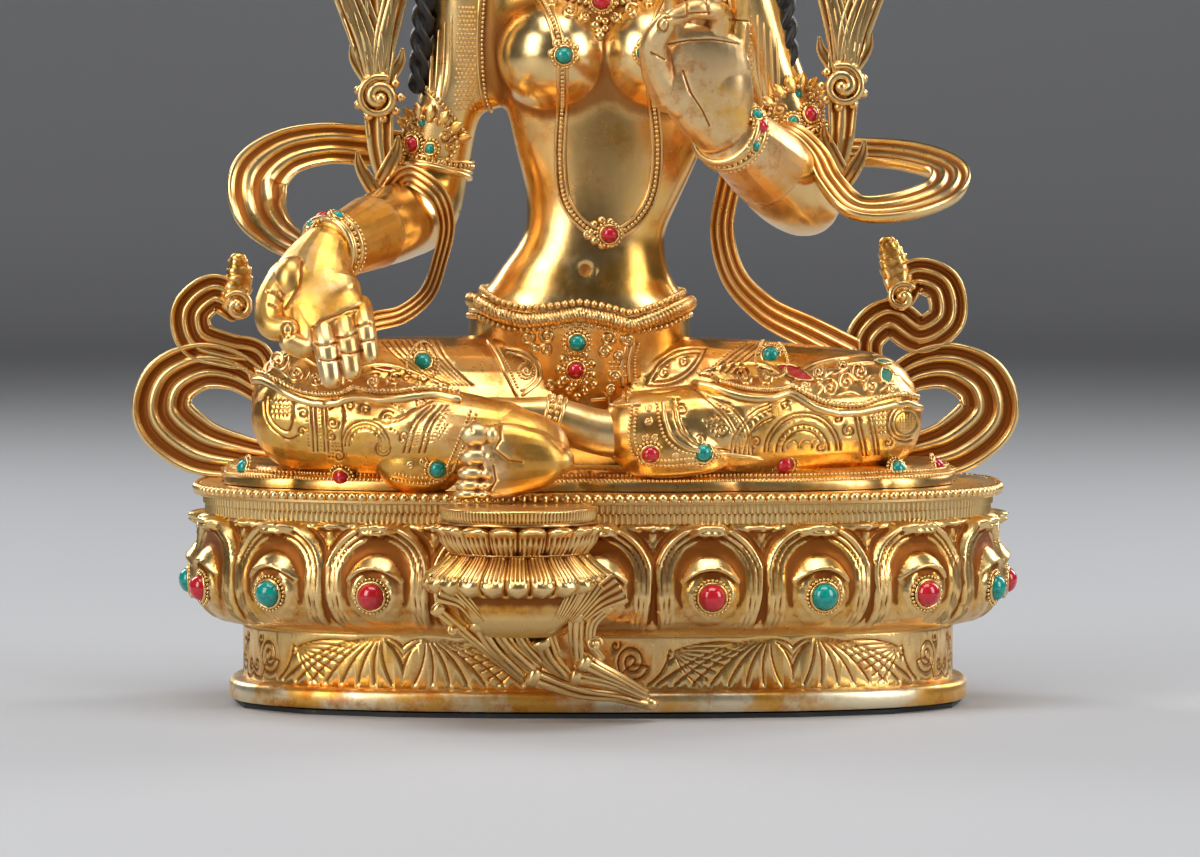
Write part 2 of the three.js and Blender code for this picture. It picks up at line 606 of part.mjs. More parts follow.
// The left upper scroll turns twice and stands nearer the knee; its x is that of the right, to be mirrored
const LEFT_UPPER = [
  [-91, 17.5, 23, 3.4, 2], [-84, 18, 28.6, 4.2, 2.2], [-83, 18, 36.6, 4.8, 2.3],
  [-89.4, 18, 42, 5, 2.4], [-97.6, 18, 37.6, 4.8, 2.4], [-104.6, 18, 42, 4.8, 2.4],
  [-103.4, 18, 50.6, 4.8, 2.3], [-96, 18, 53, 4.4, 2.2], [-92.8, 18, 47.4, 3.2, 2],
];
const LEFT_BUD = [[-92, 18, 50, 4, 2.3], [-90.4, 18, 57, 4, 2.4], [-88.8, 18, 62, 2.6, 1.8]];

function scroll(upper, bud) {
  const part = (stations, section) =>
    limb(stations, { section, up: FACING, steps: stations.length - 1, round: ROUND_END });
  return joined([part(BIG_SCROLL, FOLDED), part(upper, FOLDED), part(bud, roundSection(5))])
    .trimByPlane([0, 0, 1], SEAT + GAP);
}

const SPRAY_MIRROR = 3.4;
const SPRAY_LIFT = 3; // the left spray stands a little higher
const SPRAY_X = -57.5;
// The flower's rings of [height, radius at a petal, radius between petals]
const FLOWER = [[134, 3.4, 3.4], [142, 8.4, 6], [151, 12.4, 8], [160, 13.4, 7.6], [165, 4, 3]];
const FLOWER_PETALS = 5;
const FLOWER_DEPTH = 0.6; // the flower is flatter from front to back
function lotusSpray() {
  const x = SPRAY_X;
  const y = 1.2;
  const rings = FLOWER.map(([z, out, between]) =>
    Array.from({ length: FLOWER_PETALS * 2 }, (_, i) => {
      const turn = (i / FLOWER_PETALS) * Math.PI;
      const reach = i % 2 ? between : out;
      const rise = i % 2 ? 0 : 3;
      return onFigure([x + reach * Math.sin(turn), y - reach * Math.cos(turn) * FLOWER_DEPTH, z + rise]);
    }),
  );
  const leaf = (side) =>
    limb([[x + side, y, 113, 2.6, 1.8], [x + side * 8, y, 124, 2.4, 1.6],
      [x + side * 15, y, 137, 1.8, 1.4], [x + side * 18.4, y, 148, 0.8, 0.8]],
      { sides: 4, steps: 3, up: FACING });
  return joined([
    limb([[x + 7, y + 1, 72.4, 1.8, 1.6], [x + 2.4, y, 78.4, 2.4, 1.8], [x + 0.6, y, 85, 3, 2],
      [x, y, 94, 3.6, 2.2], [x, y, 104, 3.8, 2.4], [x + 0.6, y, 114, 3, 2.2],
      [x, y, 124, 3.4, 2.6], [x, y, 137, 4.4, 3.6]], { sides: 5, steps: 6, up: FACING }),
    limb([[x, y - 3, 100.5, 6.4, 6.4], [x, y + 2.4, 100.5, 5.6, 5.6]], { sides: 7, steps: 1, up: UP }),
    leaf(-1),
    leaf(0.5),
    solid(skin(rings)),
  ]);
}

// Stones are set where a ray from outside meets the gilt surface, and stand clear of it by the gap
const raycaster = new THREE.Raycaster();
function seated(host, from, towards, radius, sides) {
  raycaster.set(from, towards);
  const [hit] = raycaster.intersectObject(host);
  if (!hit) throw new Error("a stone's ray meets nothing from " + from.toArray().map(Math.round));
  const normal = hit.face.normal.clone().lerp(towards.clone().negate(), 0.5).normalize();
  const height = radius * 0.85;
  const dome = new THREE.LatheGeometry(
    [[0, 0], [1, 0], [0.78, 0.68], [0, 1]].map(([r, h]) => new THREE.Vector2(r * radius, h * height)),
    sides,
  );
  dome.rotateX(Math.PI / 2);
  const turn = new THREE.Quaternion().setFromUnitVectors(vec(0, 0, 1), normal);
  const base = solid(dome.applyQuaternion(turn));
  const host3 = host.userData.solid;
  for (let stand = GAP; ; stand += 0.15) {
    const at = hit.point.clone().addScaledVector(normal, stand);
    const placed = base.translate(...at.toArray());
    const near = base.translate(...hit.point.clone().addScaledVector(normal, stand - GAP * 0.7).toArray());
    if (host3.intersect(near).volume() < 1e-6) return placed;
  }
}

// Build

const pedestalSolid = pedestal(0);
const pedestalClear = pedestal(GAP);
const figureSolid = figure().trimByPlane([0, 0, 1], SEAT - 4.5);
const footClear = figureSolid.translate(0, 0, -GAP).add(figureSolid.translate(0, -GAP, 0));

const tara = new THREE.Group();
const hosts = {};
function place(name, made, material) {
  const mesh = meshOf(name, made, material);
  mesh.userData.solid = made;
  hosts[name] = mesh;
  tara.add(mesh);
}

place("closing_plate", closingPlate(), DARK_PLATE);
place("lotus_pedestal", pedestalSolid, GILT);
place("tara_figure", figureSolid.subtract(pedestalClear), GILT);
place("foot_lotus", footLotus().subtract(pedestalClear).subtract(footClear), GILT);
const hemClear = hemBank(GAP);
const clearOf = (made, ...stations) => stations.reduce((left, s) => left.subtract(thigh(s, GAP + 0.1)), made);
place(
  "scarf_scroll_right",
  clearOf(scroll(RIGHT_UPPER, RIGHT_BUD).subtract(hemClear), RIGHT_THIGH),
  GILT,
);
place(
  "scarf_scroll_left",
  clearOf(mirrored(scroll(LEFT_UPPER, LEFT_BUD), SCROLL_MIRROR * PART).subtract(hemClear), LEFT_THIGH),
  GILT,
);
const besideArm = (spray, banded) => spray.subtract(arm(banded, GAP + 0.1));
const fallClear = scarf(RIGHT_FALL, FACING, GAP + 0.1);
place("lotus_spray_right", besideArm(lotusSpray(), RIGHT).subtract(fallClear), GILT);
const leftSpray = mirrored(lotusSpray(), SPRAY_MIRROR * PART).translate(0, 0, SPRAY_LIFT * PART);
place("lotus_spray_left", besideArm(leftSpray, LEFT), GILT);

// Petal stones: petals counted from the middle of the front, to the figure's left
const PETAL_STONES = [[-5, TURQUOISE], [-4, CORAL], [-3, TURQUOISE], [-2, CORAL], [1, CORAL], [2, TURQUOISE],
  [3, CORAL], [4, TURQUOISE], [5, CORAL]];
const PETAL_STONE_HEIGHT = 31.8;
const RAY_START = 60; // outside the surface
PETAL_STONES.forEach(([petal, material], i) => {
  const turn = turnAtShare(petal / PETALS);
  const [x0, y0] = planPoint(turn - 0.02, 0);
  const [x1, y1] = planPoint(turn + 0.02, 0);
  const outward = vec(y1 - y0, -(x1 - x0), 0).normalize();
  const [x, y] = planPoint(turn, 0);
  const from = vec(x, y, PETAL_STONE_HEIGHT).addScaledVector(outward, RAY_START);
  const stone = seated(hosts.lotus_pedestal, from, outward.clone().negate(), PETAL_STONE, 6);
  place(`petal_stone_${i + 1}`, stone, material);
});

// The other stones: name, x and z in the figure's parts, radius, colour, and the way it is looked at
const T = TURQUOISE;
const C = CORAL;
const FRONT = [0, 1, 0];
const FIGURE_STONES = [
  ["belt_stone_upper", [-5.4, 0, 36.6], BELT_STONE, T, FRONT],
  ["belt_stone_lower", [-5.7, 0, 29.4], BELT_STONE, C, FRONT],
  ["chain_stone", [3, 0, 64.8], BELT_STONE, C, FRONT],
  ["breast_stone_right", [-8.8, 0, 111.4], BELT_STONE, T, FRONT],
  ["breast_stone_left", [12.4, 0, 112], BELT_STONE, T, FRONT],
  ["collar_stone", [1.6, 0, 125.6], BELT_STONE, C, FRONT],
  ["thigh_stone_right", [-45.8, 0, 31.6], HEM_STONE, T, FRONT],
  ["thigh_stone_left", [45.2, 0, 33], HEM_STONE, T, FRONT],
  ["hem_stone_3", [-41, 0, 6], HEM_STONE, T, FRONT],
  ["hem_stone_4", [13.3, 0, 10.4], HEM_STONE, C, FRONT],
  ["hem_stone_5", [26.8, 0, 9.9], HEM_STONE, T, FRONT],
  ["hem_stone_6", [47.8, 0, 7], HEM_STONE, C, FRONT],
  ["crown_stone_front", [1.6, 0, 221], BELT_STONE, C, FRONT],
  ["crown_stone_right", [-12.7, 0, 219], BAND_STONE, T, [0.5, 0.86, 0]],
  ["crown_stone_left", [15.9, 0, 219], BAND_STONE, T, [-0.5, 0.86, 0]],
];
FIGURE_STONES.forEach(([name, point, radius, material, way]) => {
  const towards = vec(...way).normalize();
  const target = onFigure(point);
  const from = target.clone().addScaledVector(towards, name.startsWith("breast") ? -32 : -200);
  place(name, seated(hosts.tara_figure, from, towards, radius * PART, 5), material);
});

// Stones round a limb, by station share along it and degrees round it from the front
function bandStones(prefix, stations, settings) {
  const path = new THREE.CatmullRomCurve3(stations.map(onFigure), false, "centripetal");
  settings.forEach(([t, degrees, radius, material], i) => {
    const tangent = path.getTangent(t);
    const front = FACING.clone().projectOnPlane(tangent).normalize();
    const out = front.applyAxisAngle(tangent, THREE.MathUtils.degToRad(degrees));
    const from = path.getPoint(t).addScaledVector(out, RAY_START / 3);
    place(`${prefix}_${i + 1}`, seated(hosts.tara_figure, from, out.negate(), radius * PART, 5), material);
  });
}

// A coral in the middle of three turquoises: turn is the coral's place round the limb, in degrees
function cluster([from, to], turn, reach) {
  const middle = (from + to) / 2;
  const side = Math.sign(turn);
  return [
    [middle, turn, BAND_STONE, C],
    [middle, turn - side * 34, SMALL_STONE, T],
    [from - reach, turn - side * 4, SMALL_STONE, T],
    [to, turn + side * 15, SMALL_STONE, T],
  ];
}
bandStones("armlet_stone_right", RIGHT_ARM, cluster(RIGHT_ARMLET, 46, 0.01));
bandStones("armlet_stone_left", LEFT_ARM, cluster(LEFT_ARMLET, -40, 0.01));
bandStones("bracelet_stone_right", RIGHT_ARM, cluster(BRACELET, 92, 0.026));
bandStones("bracelet_stone_left", LEFT_ARM, cluster(BRACELET, 44, 0.016));

// Stones on the sloping edge of the hem, from its middle to the figure's left,
// as a share of the hem's half width
const HEM_STONES = [[1, -0.95, T], [2, -0.655, C], [7, 0.86, T], [8, 0.98, C]];
const HEM_STONE_SHARE = 0.8; // of the hem's thickness
HEM_STONES.forEach(([number, share, material]) => {
  const turn = Math.sign(share) * Math.asin(Math.abs(share) ** (PLAN_POWER / 2));
  const [x0, y0] = planPoint(turn, HEM_INSET);
  const [x1, y1] = planPoint(turn + 0.01, HEM_INSET);
  const outward = vec(y1 - y0, x0 - x1, 0).normalize();
  const from = vec(x0 + HEM_SHIFT, y0, SEAT + HEM_THICKNESS * HEM_STONE_SHARE).addScaledVector(outward, 20);
  place(`hem_stone_${number}`, seated(hosts.tara_figure, from, outward.negate(), HEM_STONE, 5), material);
});

export default tara;
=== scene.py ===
# %% [markdown]
# # A gilt Tara on her lotus pedestal
# The real object is a copper casting, gilt all over, with chased patterns, rows of beads and set stones.
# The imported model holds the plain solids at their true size. This lesson dresses them: each solid but the
# closing plate is replaced by finer meshes on its centrelines and profiles, and these get their gilding.
# The numbers are millimetres, as on the maker's drawing, and MM turns them into Blender's metres.

# %% Load the frame
import json
import math

import bmesh
import bpy
import numpy as np
from mathutils import Matrix, Vector
from mathutils.bvhtree import BVHTree


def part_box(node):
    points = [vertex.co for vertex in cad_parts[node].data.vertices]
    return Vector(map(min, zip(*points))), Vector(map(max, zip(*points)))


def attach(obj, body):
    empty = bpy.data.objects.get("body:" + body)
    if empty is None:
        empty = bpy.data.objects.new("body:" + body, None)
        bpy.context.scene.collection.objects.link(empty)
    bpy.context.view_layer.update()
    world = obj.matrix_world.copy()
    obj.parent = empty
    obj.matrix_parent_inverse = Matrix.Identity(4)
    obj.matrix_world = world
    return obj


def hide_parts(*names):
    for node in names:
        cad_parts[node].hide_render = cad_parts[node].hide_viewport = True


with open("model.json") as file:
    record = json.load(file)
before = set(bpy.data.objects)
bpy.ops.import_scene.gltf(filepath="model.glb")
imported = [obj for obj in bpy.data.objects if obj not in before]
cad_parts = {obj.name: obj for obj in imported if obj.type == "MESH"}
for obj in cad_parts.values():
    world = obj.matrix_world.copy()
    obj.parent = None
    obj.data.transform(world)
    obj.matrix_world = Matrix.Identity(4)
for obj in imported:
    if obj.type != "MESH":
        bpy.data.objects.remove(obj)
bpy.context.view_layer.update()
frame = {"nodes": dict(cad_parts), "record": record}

MM = 0.001
ROUND = 2 * math.pi

# %% [markdown]
# ## Sizes
# The figure is measured in parts, as a caster's canon does, and one part is worked out from the model:
# from the seat to the jewel on the topknot there are 262 of them.

# %% Sizes from the frame
def box_mm(node):
    low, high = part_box(node)
    return np.array(low) / MM, np.array(high) / MM


TOUCH = 0.3  # the gap between solids that rest on each other
PARTS_IN_HEIGHT = 262
pedestal_low, pedestal_high = box_mm("lotus_pedestal")
figure_low, figure_high = box_mm("tara_figure")
SEAT = pedestal_high[2] + TOUCH
PART = (figure_high[2] - SEAT) / PARTS_IN_HEIGHT
print("seat height", round(SEAT, 2), "mm, one part is", round(PART, 4), "mm")


def rows_of(*columns):
    """Points or stations from their columns, one row each; a single number fills its column"""
    return np.stack(np.broadcast_arrays(*columns), axis=1)


def on_figure(points):
    """Points given in the figure's parts, as millimetres"""
    return np.asarray(points, float) * PART + (0, 0, SEAT)


# %% [markdown]
# ## The camera, the floor and the light
# The camera stands 1.8 m away at the height of the figure's upper arms, with a long lens, tipped down a
# little. Polished metal shows its surroundings more than itself, so the room is dim and the lamps are
# large soft panels: they make the broad pale highlights, and the dim room makes the dark between them.

# %% Camera
CAMERA_DISTANCE = 1800
CAMERA_HEIGHT = 161
CAMERA_ASIDE = 0.53
LENS_FOR_36_MM = 205.3
DOWNWARD_TILT = math.radians(2.84)
lens = bpy.data.cameras.new("long_lens")
lens.lens = LENS_FOR_36_MM
lens.sensor_width = 36
camera = bpy.data.objects.new("camera", lens)
camera.location = (CAMERA_ASIDE * MM, -CAMERA_DISTANCE * MM, CAMERA_HEIGHT * MM)
camera.rotation_euler = (math.pi / 2 - DOWNWARD_TILT, 0, 0)
bpy.context.scene.collection.objects.link(camera)
bpy.context.scene.camera = camera


# %% Lamps and room
LAMP_AIM = Vector((0, 0, 0.15))


def soft_panel(name, place, size, watts):
    lamp = bpy.data.lights.new(name, "AREA")
    lamp.shape = "RECTANGLE"
    lamp.size, lamp.size_y = size
    lamp.energy = watts
    panel = bpy.data.objects.new(name, lamp)
    panel.location = place
    panel.rotation_euler = (LAMP_AIM - Vector(place)).to_track_quat("-Z", "Y").to_euler()
    bpy.context.scene.collection.objects.link(panel)
    return panel


soft_panel("panel_left", (-1.15, -1, 0.75), (0.7, 1.1), 15)
soft_panel("panel_right", (1.25, -0.7, 0.7), (0.6, 1), 11)
soft_panel("panel_top", (0, -0.35, 1.35), (1, 0.7), 10)
soft_panel("panel_back_left", (-0.9, 1, 0.9), (0.5, 0.9), 10)
soft_panel("panel_back_right", (1, 0.9, 0.8), (0.5, 0.9), 10)
room = bpy.data.worlds.new("dim_room")
room.use_nodes = True
ROOM_GREY = 0.07
room.node_tree.nodes["Background"].inputs["Color"].default_value = (ROOM_GREY, ROOM_GREY, ROOM_GREY * 1.05, 1)
room.node_tree.nodes["Background"].inputs["Strength"].default_value = 1
bpy.context.scene.world = room
bpy.context.scene.view_settings.view_transform = "Standard"
bpy.context.scene.view_settings.look = "None"
bpy.context.scene.view_settings.exposure = 0.0

# %% [markdown]
# ## Working the shaders
# Shader maths is easier to read as an expression than as a row of nodes. A Signal wraps a socket, so that
# adding or multiplying it adds the Math node. Every other node comes from one method, add.


# %% Signals and finishes
class Signal:
    """A socket of a shader that takes part in sums."""

    def __init__(self, finish, socket):
        self.finish = finish
        self.socket = socket

    def _sum(self, operation, first, second):
        return self.finish.add("ShaderNodeMath", {"operation": operation}, [first, second])

    def __add__(self, other):
        return self._sum("ADD", self, other)

    __radd__ = __add__

    def __mul__(self, other):
        return self._sum("MULTIPLY", self, other)

    __rmul__ = __mul__

    def __sub__(self, other):
        return self._sum("SUBTRACT", self, other)

    def __rsub__(self, other):
        return self._sum("SUBTRACT", other, self)

    def ramp(self, low, high):
        """0 below low, 1 above high, and smooth between"""
        return self.finish.add("ShaderNodeMapRange", {"interpolation_type": "SMOOTHSTEP"}, [self, low, high])


class Finish:
    """A material that is built node by node."""

    def __init__(self, name):
        self.material = bpy.data.materials.new(name)
        self.material.use_nodes = True
        self.tree = self.material.node_tree
        self.shader = self.tree.nodes["Principled BSDF"]

    def add(self, kind, settings=None, inputs=(), output=0):
        node = self.tree.nodes.new(kind)
        for setting, value in (settings or {}).items():
            setattr(node, setting, value)
        pairs = inputs.items() if isinstance(inputs, dict) else enumerate(inputs)
        for key, value in pairs:
            self.join(node.inputs[key], value)
        return Signal(self, node.outputs[output])

    def join(self, socket, value):
        if isinstance(value, Signal):
            self.tree.links.new(value.socket, socket)
        else:
            socket.default_value = value

    def set(self, **sockets):
        for words, value in sockets.items():
            self.join(self.shader.inputs[words.replace("_", " ")], value)

    def place(self):
        return self.add("ShaderNodeTexCoord", output="Object")

    def noise(self, scale, detail=3, rough=0.55):
        inputs = {"Vector": self.place(), "Scale": scale, "Detail": detail, "Roughness": rough}
        return self.add("ShaderNodeTexNoise", {}, inputs)

    def mix(self, share, first, second):
        settings = {"data_type": "RGBA"}
        return self.add("ShaderNodeMix", settings, {"Factor": share, 6: first, 7: second}, output=2)

    def bump(self, height, distance, strength=1.0):
        self.set(Normal=self.add(
            "ShaderNodeBump", {}, {"Strength": strength, "Distance": distance, "Height": height}
        ))


# %% [markdown]
# ## Gilding
# Fire gilding is warm where it is thin. The ridges are painted pale and silvery, partly for gilding that
# hands and the burnisher have rubbed and partly as a painted highlight, and the hollows get a red-brown
# patina that is also painted shade.
# Each mesh carries an attribute, hollow, that says how deep a point lies under its surroundings in
# millimetres. The gilding reads it, and noise breaks it up.

# %% The gilding
WARM_GOLD = (0.80, 0.43, 0.085, 1)
DEEP_GOLD = (0.70, 0.29, 0.03, 1)
# the pale gold of the ridges: rubbed gilding, and also a painted highlight
PALE_GOLD = (0.93, 0.70, 0.33, 1)
# the red-brown of the hollows: real patina, and also painted shade
PATINA_AND_SHADE = (0.29, 0.085, 0.009, 1)
STAIN = (0.55, 0.17, 0.014, 1)
SILVERY = (0.88, 0.78, 0.55, 1)


def gilding(
    name, roughness=0.26, warmth=0.45, wear_and_highlight=0.6, shade_and_patina=1.0, brushed=0.00006, stained=0.75, silver=0.2
):
    finish = Finish(name)
    hollow = finish.add("ShaderNodeAttribute", {"attribute_name": "hollow"}, output="Fac")
    broad = finish.noise(55, 4)
    fine = finish.noise(420, 4, 0.6)
    grain = finish.noise(2600, 2, 0.5)
    tone = finish.mix((broad + fine * 0.35).ramp(0.55, 0.95) * warmth, WARM_GOLD, DEEP_GOLD)
    tone = finish.mix((finish.noise(38, 3) + fine * 0.2).ramp(0.5, 0.68) * silver, tone, SILVERY)
    stain = (finish.noise(130, 6, 0.7) + grain * 0.12).ramp(0.54, 0.74) * stained
    tone = finish.mix(stain, tone, STAIN)
    # what stands out turns pale: wear of the gilding, and also a painted highlight
    rubbed_and_highlit = (fine * 0.08 - hollow).ramp(0.05, 0.22) * wear_and_highlight
    tone = finish.mix(rubbed_and_highlit, tone, PALE_GOLD)
    # hollows turn red-brown and rougher by their depth: real patina, and also painted shade
    sunk = (hollow + fine * 0.08 - 0.04).ramp(0.02, 0.15) * shade_and_patina
    finish.set(
        Base_Color=finish.mix(sunk, tone, PATINA_AND_SHADE), Metallic=1 - sunk * 0.2,
        Roughness=roughness + sunk * 0.25 + stain * 0.12 + fine * 0.14 - 0.04
    )
    finish.bump(fine * 0.6 + grain * 0.4, brushed, 0.6)
    return finish.material


GILT = gilding("fire_gilt")
GILT_POLISHED = gilding(
    "burnished_gilt", roughness=0.2, warmth=0.3, shade_and_patina=0.8, brushed=0.00002, stained=0.35
)
GILT_RUBBED = gilding(
    "rubbed_gilt", roughness=0.33, warmth=0.3, wear_and_highlight=0.7, shade_and_patina=0.9, brushed=0.00003, silver=0.45
)
print("gildings:", GILT.name, GILT_POLISHED.name)


# %% Stones, black paint and the plate
def glazed(name, colour, dark, veins, roughness):
    finish = Finish(name)
    crack = finish.add(
        "ShaderNodeTexVoronoi", {"feature": "DISTANCE_TO_EDGE"},
        {"Vector": finish.place(), "Scale": 620.0, "Randomness": 1.0}, output="Distance"
    )
    cloud = finish.noise(700, 3)
    vein = (1 - crack.ramp(0.0, 0.07)) * (cloud.ramp(0.45, 0.6)) * veins
    tone = finish.mix(cloud.ramp(0.35, 0.75), colour, tuple(c * 0.72 for c in colour[:3]) + (1,))
    finish.set(Base_Color=finish.mix(vein, tone, dark), Roughness=roughness + vein * 0.25)
    finish.shader.inputs["Coat Weight"].default_value = 0.5
    return finish.material


CORAL = glazed("coral", (0.62, 0.012, 0.022, 1), (0.35, 0.005, 0.01, 1), 0.15, 0.16)
TURQUOISE = glazed("turquoise", (0, 0.33, 0.27, 1), (0, 0.03, 0.03, 1), 0.85, 0.2)


def painted(name, colour, roughness, chipped):
    finish = Finish(name)
    speck = finish.noise(900, 4, 0.7).ramp(0.62, 0.72) * chipped
    finish.set(Base_Color=finish.mix(speck, colour, (0.35, 0.17, 0.04, 1)), Roughness=roughness + speck * 0.2)
    finish.bump(finish.noise(1500, 3), 0.00004)
    return finish.material


BLACK_HAIR = painted("black_hair", (0.012, 0.011, 0.012, 1), 0.42, 0.25)
RED_PAINT = painted("red_paint", (0.45, 0.012, 0.02, 1), 0.35, 0.5)
GREEN_PAINT = painted("green_paint", (0.006, 0.16, 0.09, 1), 0.4, 0.5)
DARK_PLATE = painted("dark_plate", (0.02, 0.02, 0.02, 1), 0.6, 0.5)
PALE_FLOOR = painted("pale_floor", (0.47, 0.475, 0.49, 1), 0.65, 0)

# %% [markdown]
# ## A mesh from a sheet
# Much of the work starts as a flat grid that is bent in code, as a goldsmith bends sheet: its columns run
# round a piece and its rows along it. Where the sheet's edges meet, the doubles are merged, so the piece
# is closed, and the normals are then turned outwards.

# %% Helpers for meshes
MERGE = 0.012


def alone(piece):
    bpy.ops.object.select_all(action="DESELECT")
    piece.select_set(True)
    bpy.context.view_layer.objects.active = piece


def close_up(piece):
    """Merges doubles and turns the faces outwards"""
    alone(piece)
    bpy.ops.object.mode_set(mode="EDIT")
    bpy.ops.mesh.select_all(action="SELECT")
    bpy.ops.mesh.remove_doubles(threshold=MERGE * MM)
    bpy.ops.mesh.normals_make_consistent(inside=False)
    bpy.ops.object.mode_set(mode="OBJECT")


def points_of(piece):
    flat = np.empty(len(piece.data.vertices) * 3)
    piece.data.vertices.foreach_get("co", flat)
    return flat.reshape(-1, 3) / MM


def set_points(piece, points):
    piece.data.vertices.foreach_set("co", (points * MM).ravel())
    piece.data.update()


def normals_of(piece):
    flat = np.empty(len(piece.data.vertices) * 3)
    piece.data.vertex_normals.foreach_get("vector", flat)
    return flat.reshape(-1, 3)


def bent_sheet(name, columns, rows, place):
    """A grid whose points are put where place(u, v) says, u round the piece and v along it, both 0 to 1"""
    bpy.ops.object.select_all(action="DESELECT")
    bpy.ops.mesh.primitive_grid_add(x_subdivisions=columns, y_subdivisions=rows, size=1)
    piece = bpy.context.object
    piece.name = piece.data.name = name
    flat = points_of(piece) * MM + 0.5
    set_points(piece, place(flat[:, 0], flat[:, 1]))
    close_up(piece)
    return piece


def apply(piece, kind, **settings):
    alone(piece)
    modifier = piece.modifiers.new(kind.lower(), kind)
    for setting, value in settings.items():
        setattr(modifier, setting, value)
    bpy.ops.object.modifier_apply(modifier=modifier.name)


def joined(name, parts):
    alone(parts[0])
    for part in parts[1:]:
        part.select_set(True)
    if len(parts) > 1:
        bpy.ops.object.join()
    piece = bpy.context.object
    piece.name = piece.data.name = name
    return piece


def fused(name, parts, voxel, smooth=4):
    """Parts that overlap become one skin, as wax parts do when their joins are melted"""
    piece = joined(name, parts)
    apply(piece, "REMESH", mode="VOXEL", voxel_size=voxel * MM)
    if smooth:
        apply(piece, "SMOOTH", iterations=smooth, factor=0.5)
    return piece


def triangles(piece):
    return sum(len(face.vertices) - 2 for face in piece.data.polygons)


def mark_hollows(piece, reach=8):
    """Stores how deep each point lies under its smoothed surroundings, in millimetres"""
    mesh = piece.data
    count = len(mesh.vertices)
    ends = np.empty(len(mesh.edges) * 2, np.int64)
    mesh.edges.foreach_get("vertices", ends)
    a, b = ends.reshape(-1, 2).T
    meets = np.maximum(np.bincount(ends, minlength=count), 1)
    points = points_of(piece)
    soft = points.copy()
    for _ in range(reach):
        soft = np.stack([
            np.bincount(a, soft[b, k], count) + np.bincount(b, soft[a, k], count) for k in range(3)
        ], axis=1)
        soft /= meets[:, None]
    depth = ((soft - points) * normals_of(piece)).sum(1)
    layer = mesh.attributes.new("hollow", "FLOAT", "POINT")
    layer.data.foreach_set("value", depth.astype(np.float32))


total = {"pieces": 0, "triangles": 0}


def finished(piece, *nodes, material=GILT, slot="gilt", reach=8, smooth_angle=None, thin=1.0):
    """Gives a piece its finish, thins its mesh to a share, and hides the solids that it stands for"""
    if reach and material in (GILT, GILT_POLISHED, GILT_RUBBED):
        mark_hollows(piece, reach)
    if thin < 1:
        apply(piece, "DECIMATE", ratio=thin)
    piece.data.materials.clear()
    piece.data.materials.append(material)
    alone(piece)
    if smooth_angle:
        bpy.ops.object.shade_smooth_by_angle(angle=math.radians(smooth_angle))
    else:
        bpy.ops.object.shade_smooth()
    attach(piece, "root")
    if nodes:
        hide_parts(*nodes)
    total["pieces"] += 1
    total["triangles"] += triangles(piece)
    print(f"{piece.name}: {triangles(piece)} triangles")
    return piece


# %% [markdown]
# ## The floor
# A pale sheet lies under the pedestal and sweeps up behind it, so that no edge shows. A few vertices and a
# subdivision make the sweep. It isn't part of the object.

# %% Floor
def sweep(u, v):
    along = v * 7200 - 2400
    rise = np.clip(along - 2500, 0, None)
    y = np.minimum(along, 2500) + 500 * (1 - np.exp(-rise / 500))
    return rows_of((u - 0.5) * 8000, y, rise ** 2 / (rise + 700))


floor = bent_sheet("floor", 8, 60, sweep)
floor.data.materials.append(PALE_FLOOR)
bpy.ops.object.shade_smooth()

# %% [markdown]
# ## The pedestal's plan
# Seen from above the pedestal is a squared oval, a superellipse. Petals are spaced evenly along its edge,
# so shares of that edge are turned into angles through its summed length.

# %% Plan of the pedestal
PLAN_HALF_WIDTH = 108
PLAN_HALF_DEPTH = 66
PLAN_POWER = 2.7
PETALS = 20
PLAN_STEPS = 4000


def plan(turn, inset):
    def bend(value):
        return np.sign(value) * np.abs(value) ** (2 / PLAN_POWER)

    return (PLAN_HALF_WIDTH - inset) * bend(np.sin(turn)), -(PLAN_HALF_DEPTH - inset) * bend(np.cos(turn))


plan_turns = np.linspace(0, ROUND, PLAN_STEPS + 1)
edge_x, edge_y = plan(plan_turns, 0)
edge_length = np.concatenate([[0], np.cumsum(np.hypot(np.diff(edge_x), np.diff(edge_y)))])
EDGE = edge_length[-1]
PETAL_PITCH = EDGE / PETALS
print("edge of the plan", round(EDGE, 1), "mm, one petal every", round(PETAL_PITCH, 2), "mm")


def turn_at(share):
    return np.interp(np.mod(share, 1) * EDGE, edge_length, plan_turns)


def ring_band(name, columns, heights, inset_of, inside):
    """A closed ring round the plan: an outer face with relief, and a plain way back inside"""
    outer = len(heights)
    z_rows = np.array(list(heights) + [z for _, z in inside] + [heights[0]])
    fixed = np.array([0.0] * outer + [inset for inset, _ in inside] + [0.0])
    is_outer = np.array([True] * outer + [False] * len(inside) + [True])

    def place(u, v):
        row = np.rint(v * (len(z_rows) - 1)).astype(int)
        inset = np.where(is_outer[row], inset_of(u, z_rows[row]), fixed[row])
        x, y = plan(turn_at(u), inset)
        return rows_of(x, y, z_rows[row])

    return bent_sheet(name, columns, len(z_rows) - 1, place)


# %% [markdown]
# ## The ring of petals
# Each petal is an onion-shaped leaf with two ridges along its edge, a domed hood in its middle with a
# socket under it for the stone, and a tip that curls out. Small leaves stand between. All that is a
# formula of two lengths: across from the petal's middle, and the height.


# %% Petals
def hump(value, middle, width):
    return np.exp(-(((value - middle) / width) ** 2))


def step(value, low, high):
    t = np.clip((value - low) / (high - low), 0, 1)
    return t * t * (3 - 2 * t)


LEAF_HEIGHTS = [21.2, 22, 23.2, 25.3, 28.5, 32, 36, 40, 44, 47, 49.6, 50.6]
LEAF_INSETS = [14.4, 10.2, 7.4, 4.9, 2.9, 2.1, 2.1, 2.8, 3.5, 3.4, 3.6, 5.2]
LEAF_HALF_WIDTH = 14.3
LEAF_WIDEST = 36.5
LEAF_TOP = 50.3
STONE_HEIGHT = 31.8


